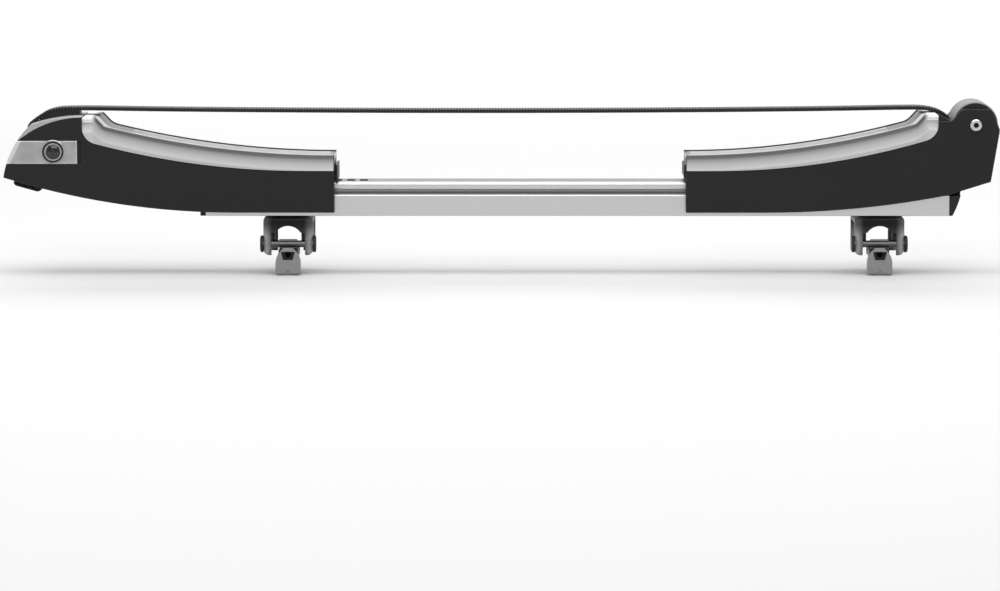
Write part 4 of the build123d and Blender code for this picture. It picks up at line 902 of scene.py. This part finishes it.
@dataclass
class PaddedArm(SubAssembly):
    """An upswept arm: core, side plates and pad, with a ribbed mat on the pad."""

    name: str = "left"
    body: str = "left_arm"
    crown: Crown = Finishes.PAD_SHELL.value.crowns[0]
    recess: float = 1.5 * MM
    rib_half: float = 1.1 * MM
    rib_rise: float = 0.45
    rib_pitch: float = 6.4 * MM
    ribs_aside: int = 4
    first_rib: float = 5.0 * MM
    rib_run: float = 200.0 * MM
    rib_sides: int = 10
    rib_steps: int = 40

    def rib(self) -> bpy.types.Object:
        """Spin one low rib along the middle of the mat.

        Returns:
            The rib.
        """
        centre = (self.crown.inner, 0.0, self.crown.level + self.crown.radius)
        at = (self.crown.inner + self.crown.side * self.first_rib, 0.0, self.crown.level - self.recess)
        Bench.clear()
        bpy.ops.mesh.primitive_circle_add(
            vertices=self.rib_sides,
            radius=self.rib_half,
            fill_type="NOTHING",
            location=at,
            rotation=(0.0, math.pi / 2, 0.0),
        )
        Bench.open()
        bpy.ops.transform.resize(value=(1.0, 1.0, self.rib_rise), center_override=at)
        turn = self.crown.side * self.rib_run / self.crown.radius
        bpy.ops.mesh.spin(steps=self.rib_steps, angle=turn, center=centre, axis=(0.0, 1.0, 0.0))
        bpy.ops.mesh.select_all(action="SELECT")
        bpy.ops.mesh.fill_holes(sides=0)
        return Bench.close(f"{self.name}_mat_rib", 40.0)

    def ribs(self) -> bpy.types.Object:
        """Set copies of the rib side by side across the mat.

        Returns:
            The ribs, as one piece.
        """
        model = self.rib()
        made = [model]
        for i in range(-self.ribs_aside, self.ribs_aside + 1):
            if i:
                one = model.copy()
                one.data = model.data.copy()
                one.location.y = i * self.rib_pitch
                bpy.context.scene.collection.objects.link(one)
                made.append(one)
        return Bench.joined(made, f"{self.name}_mat_ribs")

    def build(self) -> None:
        """Dress the arm and rib its mat."""
        self.dress()
        self.finish(self.ribs(), "grip_mat", self.body)


@dataclass
class ReleaseNose(SubAssembly):
    """The release button with its lock, and the parts that hold the strap inside the nose."""

    solids: tuple[str, ...] = (
        "release_button",
        "lock_bezel",
        "lock_barrel",
        "lock_plug",
        "nose_cover",
        "strap_guide",
        "strap_cam",
        "cam_pin",
        "cam_spring",
    )
    lock_at: tuple[float, float] = (-531.0 * MM, 74.0 * MM)
    ring: tuple[tuple[float, float], ...] = (
        (8.9 * MM, -36.95 * MM),
        (8.9 * MM, -37.3 * MM),
        (8.75 * MM, -37.5 * MM),
        (8.5 * MM, -37.55 * MM),
        (8.25 * MM, -37.5 * MM),
        (8.1 * MM, -37.3 * MM),
        (8.1 * MM, -37.05 * MM),
    )
    dome: tuple[tuple[float, float], ...] = (
        (7.5 * MM, -37.02 * MM),
        (7.5 * MM, -37.25 * MM),
        (7.0 * MM, -37.7 * MM),
        (6.0 * MM, -38.15 * MM),
        (4.7 * MM, -38.5 * MM),
        (3.2 * MM, -38.75 * MM),
        (1.5 * MM, -38.9 * MM),
    )
    keyway: tuple[float, float, float] = (1.6 * MM, 2.4 * MM, 8.0 * MM)

    def build(self) -> None:
        """Dress the nose, then turn the lock's ring and the domed face of its plug."""
        self.dress()
        self.finish(Bench.turned("lock_ring", self.lock_at, self.ring), "bright_ring", "release_button")
        face = Bench.turned("lock_face", self.lock_at, self.dome)
        front = self.dome[-1][1]
        Bench.cut(face, (self.lock_at[0], front, self.lock_at[1]), self.keyway)
        self.finish(face, "lock_steel", "lock_plug")


@dataclass
class WidthLatch(SubAssembly):
    """The latch under the left arm that drops into the rail's slots, and the coil that holds it down."""

    solids: tuple[str, ...] = ("width_latch", "latch_pin")
    coil_at: tuple[float, float, float] = (-306.67 * MM, 0.0, 47.2 * MM)
    coil_top: float = 53.0 * MM
    coil_radius: float = 2.75 * MM
    wire: float = 0.42 * MM
    wire_sides: int = 10
    turns: int = 4
    turn_steps: int = 28
    pressed: float = 0.66

    def coil(self) -> bpy.types.Object:
        """Wind the coil.

        Returns:
            The coil.
        """
        foot = (self.coil_at[0], self.coil_at[1], self.coil_at[2] + self.wire)
        Bench.clear()
        bpy.ops.mesh.primitive_circle_add(
            vertices=self.wire_sides,
            radius=self.wire,
            fill_type="NOTHING",
            location=foot,
            rotation=(math.pi / 2, 0.0, 0.0),
        )
        Bench.open()
        bpy.ops.transform.translate(value=(self.coil_radius, 0.0, 0.0))
        bpy.ops.object.mode_set(mode="OBJECT")
        winding = bpy.context.object.modifiers.new("winding", "SCREW")
        winding.axis = "Y"
        winding.iterations = self.turns
        winding.screw_offset = (self.coil_top - self.coil_at[2] - 2 * self.wire) / self.turns
        winding.steps = winding.render_steps = self.turn_steps
        bpy.ops.object.modifier_apply(modifier=winding.name)
        Bench.open()
        bpy.ops.mesh.fill_holes(sides=0)
        return Bench.close("latch_coil", 50.0)

    def build(self) -> None:
        """Dress the latch and wind its coil, in place of the latch's spring."""
        self.dress()
        coil = self.finish(self.coil(), "spring_steel", "left_arm")
        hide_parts("latch_spring")
        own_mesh(coil)


@dataclass
class LoadingRoller(SubAssembly):
    """The roller at the end of the right arm, on its axle."""

    solids: tuple[str, ...] = (
        "roller_hub",
        "roller_tread",
        "roller_bushes",
        "roller_axle",
        "roller_axle_nut",
    )


@dataclass
class ClampFoot(SubAssembly):
    """A foot that clamps the crossbar: saddle, rod, swinging link and jaw."""

    solids: tuple[str, ...] = (
        "saddle",
        "seat_pad",
        "tee_bolt",
        "tee_nut",
        "rod",
        "rod_caps",
        "clamp_link",
        "clamp_jaw",
        "jaw_bolt",
        "jaw_pad",
    )
    name: str = "left"

    def dress(self) -> None:
        """Give each solid of this foot its finish."""
        for node in self.solids:
            self.shop.dress_solid(f"{self.name}_foot_{node}")


@dataclass
class Ribbon:
    """A run of webbing: its section swept along a smooth route in the carrier's middle plane."""

    shop: Workshop
    route: tuple[tuple[float, float], ...]
    thick: float = 3.7 * MM
    width: float = 26.0 * MM
    fineness: int = 220
    pick: float = 3.0 * MM
    tick: float = 0.26 * MM
    selvedge: float = 0.4
    section: tuple[tuple[float, float], ...] = (
        (-0.5, -0.25),
        (-0.47, -0.5),
        (0.0, -0.46),
        (0.47, -0.5),
        (0.5, -0.25),
        (0.5, 0.25),
        (0.47, 0.5),
        (0.0, 0.46),
        (-0.47, 0.5),
        (-0.5, 0.25),
    )

    def line(self) -> list[Vector]:
        """Read the ribbon's middle line from its spline.

        Returns:
            The spline's points, in order.
        """
        curve = bpy.data.curves.new("ribbon_route", "CURVE")
        curve.dimensions = "3D"
        curve.resolution_u = self.fineness
        spline = curve.splines.new("NURBS")
        spline.points.add(len(self.route) - 1)
        for point, (x, z) in zip(spline.points, self.route):
            point.co = (x * MM, 0.0, z * MM, 1.0)
        spline.order_u = 3
        spline.use_endpoint_u = True
        holder = bpy.data.objects.new("ribbon_route", curve)
        bpy.context.scene.collection.objects.link(holder)
        bpy.context.view_layer.update()
        drawn = bpy.data.meshes.new_from_object(holder)
        points = [v.co.copy() for v in drawn.vertices]
        bpy.data.objects.remove(holder)
        bpy.data.meshes.remove(drawn)
        bpy.data.curves.remove(curve)
        return [p for p, before in zip(points, [None, *points]) if p != before]

    def rings(self, line: Sequence[Vector]) -> tuple[list[Vector], list[float]]:
        """Set the section at each point of the line, swelling at each pick of the weave.

        Args:
            line: the middle line.

        Returns:
            The points of all sections, and how far along the ribbon each section lies.
        """
        side = Vector((0.0, 1.0, 0.0))
        points, travelled = [], []
        run = 0.0
        for i, here in enumerate(line):
            ahead = (line[min(i + 1, len(line) - 1)] - line[max(i - 1, 0)]).normalized()
            up = ahead.cross(side)
            run += (here - line[i - 1]).length if i else 0.0
            travelled.append(run)
            swell = self.tick * math.sin(2 * math.pi * run / self.pick)
            for across, over in self.section:
                wider = swell if abs(across) > self.selvedge else 0.0
                points.append(here + side * across * (self.width + wider) + up * over * (self.thick + swell))
        return points, travelled

    def faces(self, rows: int) -> list[tuple[int, ...]]:
        """Join neighbouring sections with faces, and close both ends.

        Args:
            rows: how many sections there are.

        Returns:
            The faces, as the numbers of their points.
        """
        count = len(self.section)
        made: list[tuple[int, ...]] = []
        for i in range(0, (rows - 1) * count, count):
            for j in range(count):
                k = (j + 1) % count
                made.append((i + j, i + k, i + count + k, i + count + j))
        made.append(tuple(range(count - 1, -1, -1)))
        made.append(tuple(range((rows - 1) * count, rows * count)))
        return made

    def woven(self, name: str, line: Sequence[Vector]) -> bpy.types.Object:
        """Sweep the section along the line.

        Args:
            name: the piece's name.
            line: the middle line.

        Returns:
            The webbing, with a map of its surface in metres.
        """
        points, travelled = self.rings(line)
        mesh = bpy.data.meshes.new(name)
        mesh.from_pydata([tuple(p) for p in points], [], self.faces(len(line)))
        self.map_surface(mesh, travelled)
        piece = bpy.data.objects.new(name, mesh)
        bpy.context.scene.collection.objects.link(piece)
        Bench.clear()
        bpy.context.view_layer.objects.active = piece
        piece.select_set(True)
        Bench.open()
        Bench.close(name, 60.0)
        self.shop.dress(piece, Finishes.WEBBING)
        log.info("piece %s: %.3f m of webbing", name, travelled[-1])
        return piece

    def map_surface(self, mesh: bpy.types.Mesh, travelled: Sequence[float]) -> None:
        """Map the surface in metres, along the ribbon and round its section.

        Args:
            mesh: the swept mesh.
            travelled: how far along the ribbon each row lies.
        """
        count = len(self.section)
        ring = [0.0]
        for (a, b), (c, d) in zip(self.section, self.section[1:] + self.section[:1]):
            ring.append(ring[-1] + math.hypot((c - a) * self.width, (d - b) * self.thick))
        layer = mesh.uv_layers.new(name="weave")
        for polygon in mesh.polygons:
            for corner, vertex in zip(polygon.loop_indices, polygon.vertices):
                row, spot = divmod(vertex, count)
                wraps = spot == 0 and any(v % count == count - 1 for v in polygon.vertices)
                layer.data[corner].uv = (travelled[row], ring[count] if wraps else ring[spot])


@dataclass
class StrapTail(Ribbon):
    """The end of the strap, folded flat under the nose."""

    route: tuple[tuple[float, float], ...] = (
        (-556.8, 39.3),
        (-564.6, 41.4),
        (-571.2, 43.2),
        (-572.1, 39.8),
        (-565.5, 38.0),
        (-554.0, 34.8),
        (-547.4, 33.0),
        (-546.5, 36.4),
        (-552.6, 38.1),
    )
    thick: float = 2.6 * MM
    fineness: int = 24

    def build(self) -> bpy.types.Object:
        """Fold the tail.

        Returns:
            The tail.
        """
        tail = self.woven("strap_fold", self.line())
        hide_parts("strap_tail")
        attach(tail, "left_arm")
        return tail


@dataclass
class Strap(Ribbon):
    """The webbing strap, from the foot of the nose over the arms to its anchor pin."""

    route: tuple[tuple[float, float], ...] = (
        (-557.0, 41.3),
        (-557.0, 68.0),
        (-557.0, 92.0),
        (-557.0, 99.2),
        (-548.6, 106.0),
        (-533.8, 115.0),
        (-506.0, 116.05),
        (-420.0, 114.6),
        (-260.0, 113.4),
        (-84.0, 113.1),
        (90.0, 113.7),
        (250.0, 115.3),
        (315.0, 116.7),
        (348.6, 116.6),
        (366.6, 107.6),
        (366.6, 98.0),
        (366.6, 84.0),
    )
    length: float = 1.005
    moves_from: tuple[float, float, float] = (0.330, 0.0, 0.116)
    moves_to: tuple[float, float, float] = (-0.506, 0.0, 0.116)

    def build(self, tail: bpy.types.Object) -> None:
        """Stretch the strap over the arms.

        Args:
            tail: the strap's folded end; not used.
        """
        line = self.line()
        strap = self.woven("strap", line)
        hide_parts("strap_span", "strap_nose")
        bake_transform(strap)


@dataclass(frozen=True)
class Lamp:
    """A soft rectangular lamp: where it hangs, what it faces, its sides in metres and its power."""

    name: str
    place: tuple[float, float, float]
    faces: tuple[float, float, float]
    wide: float
    deep: float
    power: float


@dataclass
class Studio:
    """A plain pale floor, soft light, and the photograph's camera."""

    floor_drop: float = -50.5 * MM
    floor_reach: float = 12.0
    floor_cuts: int = 3
    floor_pale: float = 0.62
    floor_roughness: float = 0.9
    floor_specular: float = 0.1
    sky: float = 0.35
    camera_at: tuple[float, float, float] = (-71.3 * MM, -4904.3 * MM, 447.0 * MM)
    look_at: tuple[float, float, float] = (-84.1 * MM, -36.0 * MM, -70.2 * MM)
    lens: float = 175.79
    sensor: float = 36.0
    view_end: float = 60.0
    lamps: tuple[Lamp, ...] = (
        Lamp("top", (0.0, -0.4, 2.6), (0.0, 0.0, 0.0), 4.0, 3.0, 92.0),
        Lamp("front", (-0.3, -3.6, 1.9), (0.0, 0.0, 0.0), 2.5, 1.2, 40.0),
        Lamp("left_strip", (-4.32, -1.8, 1.22), (0.0, 0.0, 0.05), 0.9, 2.88, 32.4),
        Lamp("right_strip", (4.32, -1.8, 1.22), (0.0, 0.0, 0.05), 0.9, 2.88, 32.4),
        Lamp("backdrop", (0.0, 5.6, 3.2), (0.0, 5.4, 0.0), 8.0, 5.0, 420.0),
    )

    @staticmethod
    def hang(
        name: str, data: bpy.types.ID, at: Sequence[float], towards: Sequence[float]
    ) -> bpy.types.Object:
        """Hang a lamp or a camera.

        Args:
            name: its name.
            data: the lamp or the camera.
            at: where it hangs.
            towards: the point that it faces.

        Returns:
            The object that holds it.
        """
        holder = bpy.data.objects.new(name, data)
        holder.location = at
        holder.rotation_euler = (Vector(towards) - Vector(at)).to_track_quat("-Z", "Y").to_euler()
        bpy.context.scene.collection.objects.link(holder)
        return holder

    def floor(self) -> None:
        """Model the floor."""
        Bench.clear()
        bpy.ops.mesh.primitive_plane_add(size=2 * self.floor_reach, location=(0, 0, self.floor_drop))
        floor = bpy.context.object
        floor.name = "floor"
        Bench.open()
        bpy.ops.mesh.subdivide(number_cuts=self.floor_cuts)
        bpy.ops.object.mode_set(mode="OBJECT")
        bpy.ops.object.transform_apply(location=True, rotation=False, scale=False)
        graph = Graph("floor")
        graph.feed("Base Color", (self.floor_pale, self.floor_pale, self.floor_pale, 1.0))
        graph.feed("Roughness", self.floor_roughness)
        graph.feed("Specular IOR Level", self.floor_specular)
        floor.data.materials.append(graph.material)
        floor.select_set(False)

    def light(self) -> None:
        """Set the lamps and the sky."""
        world = bpy.context.scene.world or bpy.data.worlds.new("sky")
        bpy.context.scene.world = world
        world.use_nodes = True
        nodes = world.node_tree.nodes
        sky = nodes.get("Background") or nodes.new("ShaderNodeBackground")
        sky.inputs["Color"].default_value = (1.0, 1.0, 1.0, 1.0)
        sky.inputs["Strength"].default_value = self.sky
        bpy.context.scene.view_settings.view_transform = "Standard"
        for lamp in self.lamps:
            light = bpy.data.lights.new(lamp.name, "AREA")
            light.shape = "RECTANGLE"
            light.size, light.size_y, light.energy = lamp.wide, lamp.deep, lamp.power
            self.hang(lamp.name, light, lamp.place, lamp.faces)
            log.info("lamp %s", lamp.name)

    def camera(self) -> None:
        """Set the camera where the photograph's stood."""
        lens = bpy.data.cameras.new("camera")
        lens.lens = self.lens
        lens.sensor_width = self.sensor
        lens.clip_end = self.view_end
        bpy.context.scene.camera = self.hang("camera", lens, self.camera_at, self.look_at)


def main() -> None:
    """Dress the carrier from the rail up, then set up the studio round it."""
    logging.basicConfig(level=logging.INFO, format="%(message)s")
    shop = Workshop()
    crowns = Finishes.PAD_SHELL.value.crowns
    arm = ("arm_core", "near_plate", "far_plate", "plate_screws", "pad", "grip_mat")
    left = (*(f"left_{part}" for part in arm), "rail_glides")
    right = (*(f"right_{part}" for part in arm), "right_arm_bolts", "right_inner_cap", "strap_anchor_pin")
    assemblies: tuple[SubAssembly, ...] = (
        RailBar(shop),
        PaddedArm(shop, left, "left", "left_arm", crowns[0]),
        PaddedArm(shop, right, "right", "base", crowns[1]),
        WidthLatch(shop),
        ReleaseNose(shop),
        LoadingRoller(shop),
        ClampFoot(shop, name="left"),
        ClampFoot(shop, name="right"),
    )
    for assembly in assemblies:
        assembly.build()
        log.info("%s done", type(assembly).__name__)
    tail = StrapTail(shop).build()
    Strap(shop).build(tail)
    studio = Studio()
    studio.floor()
    studio.light()
    studio.camera()


if __name__ == "__main__":
    main()
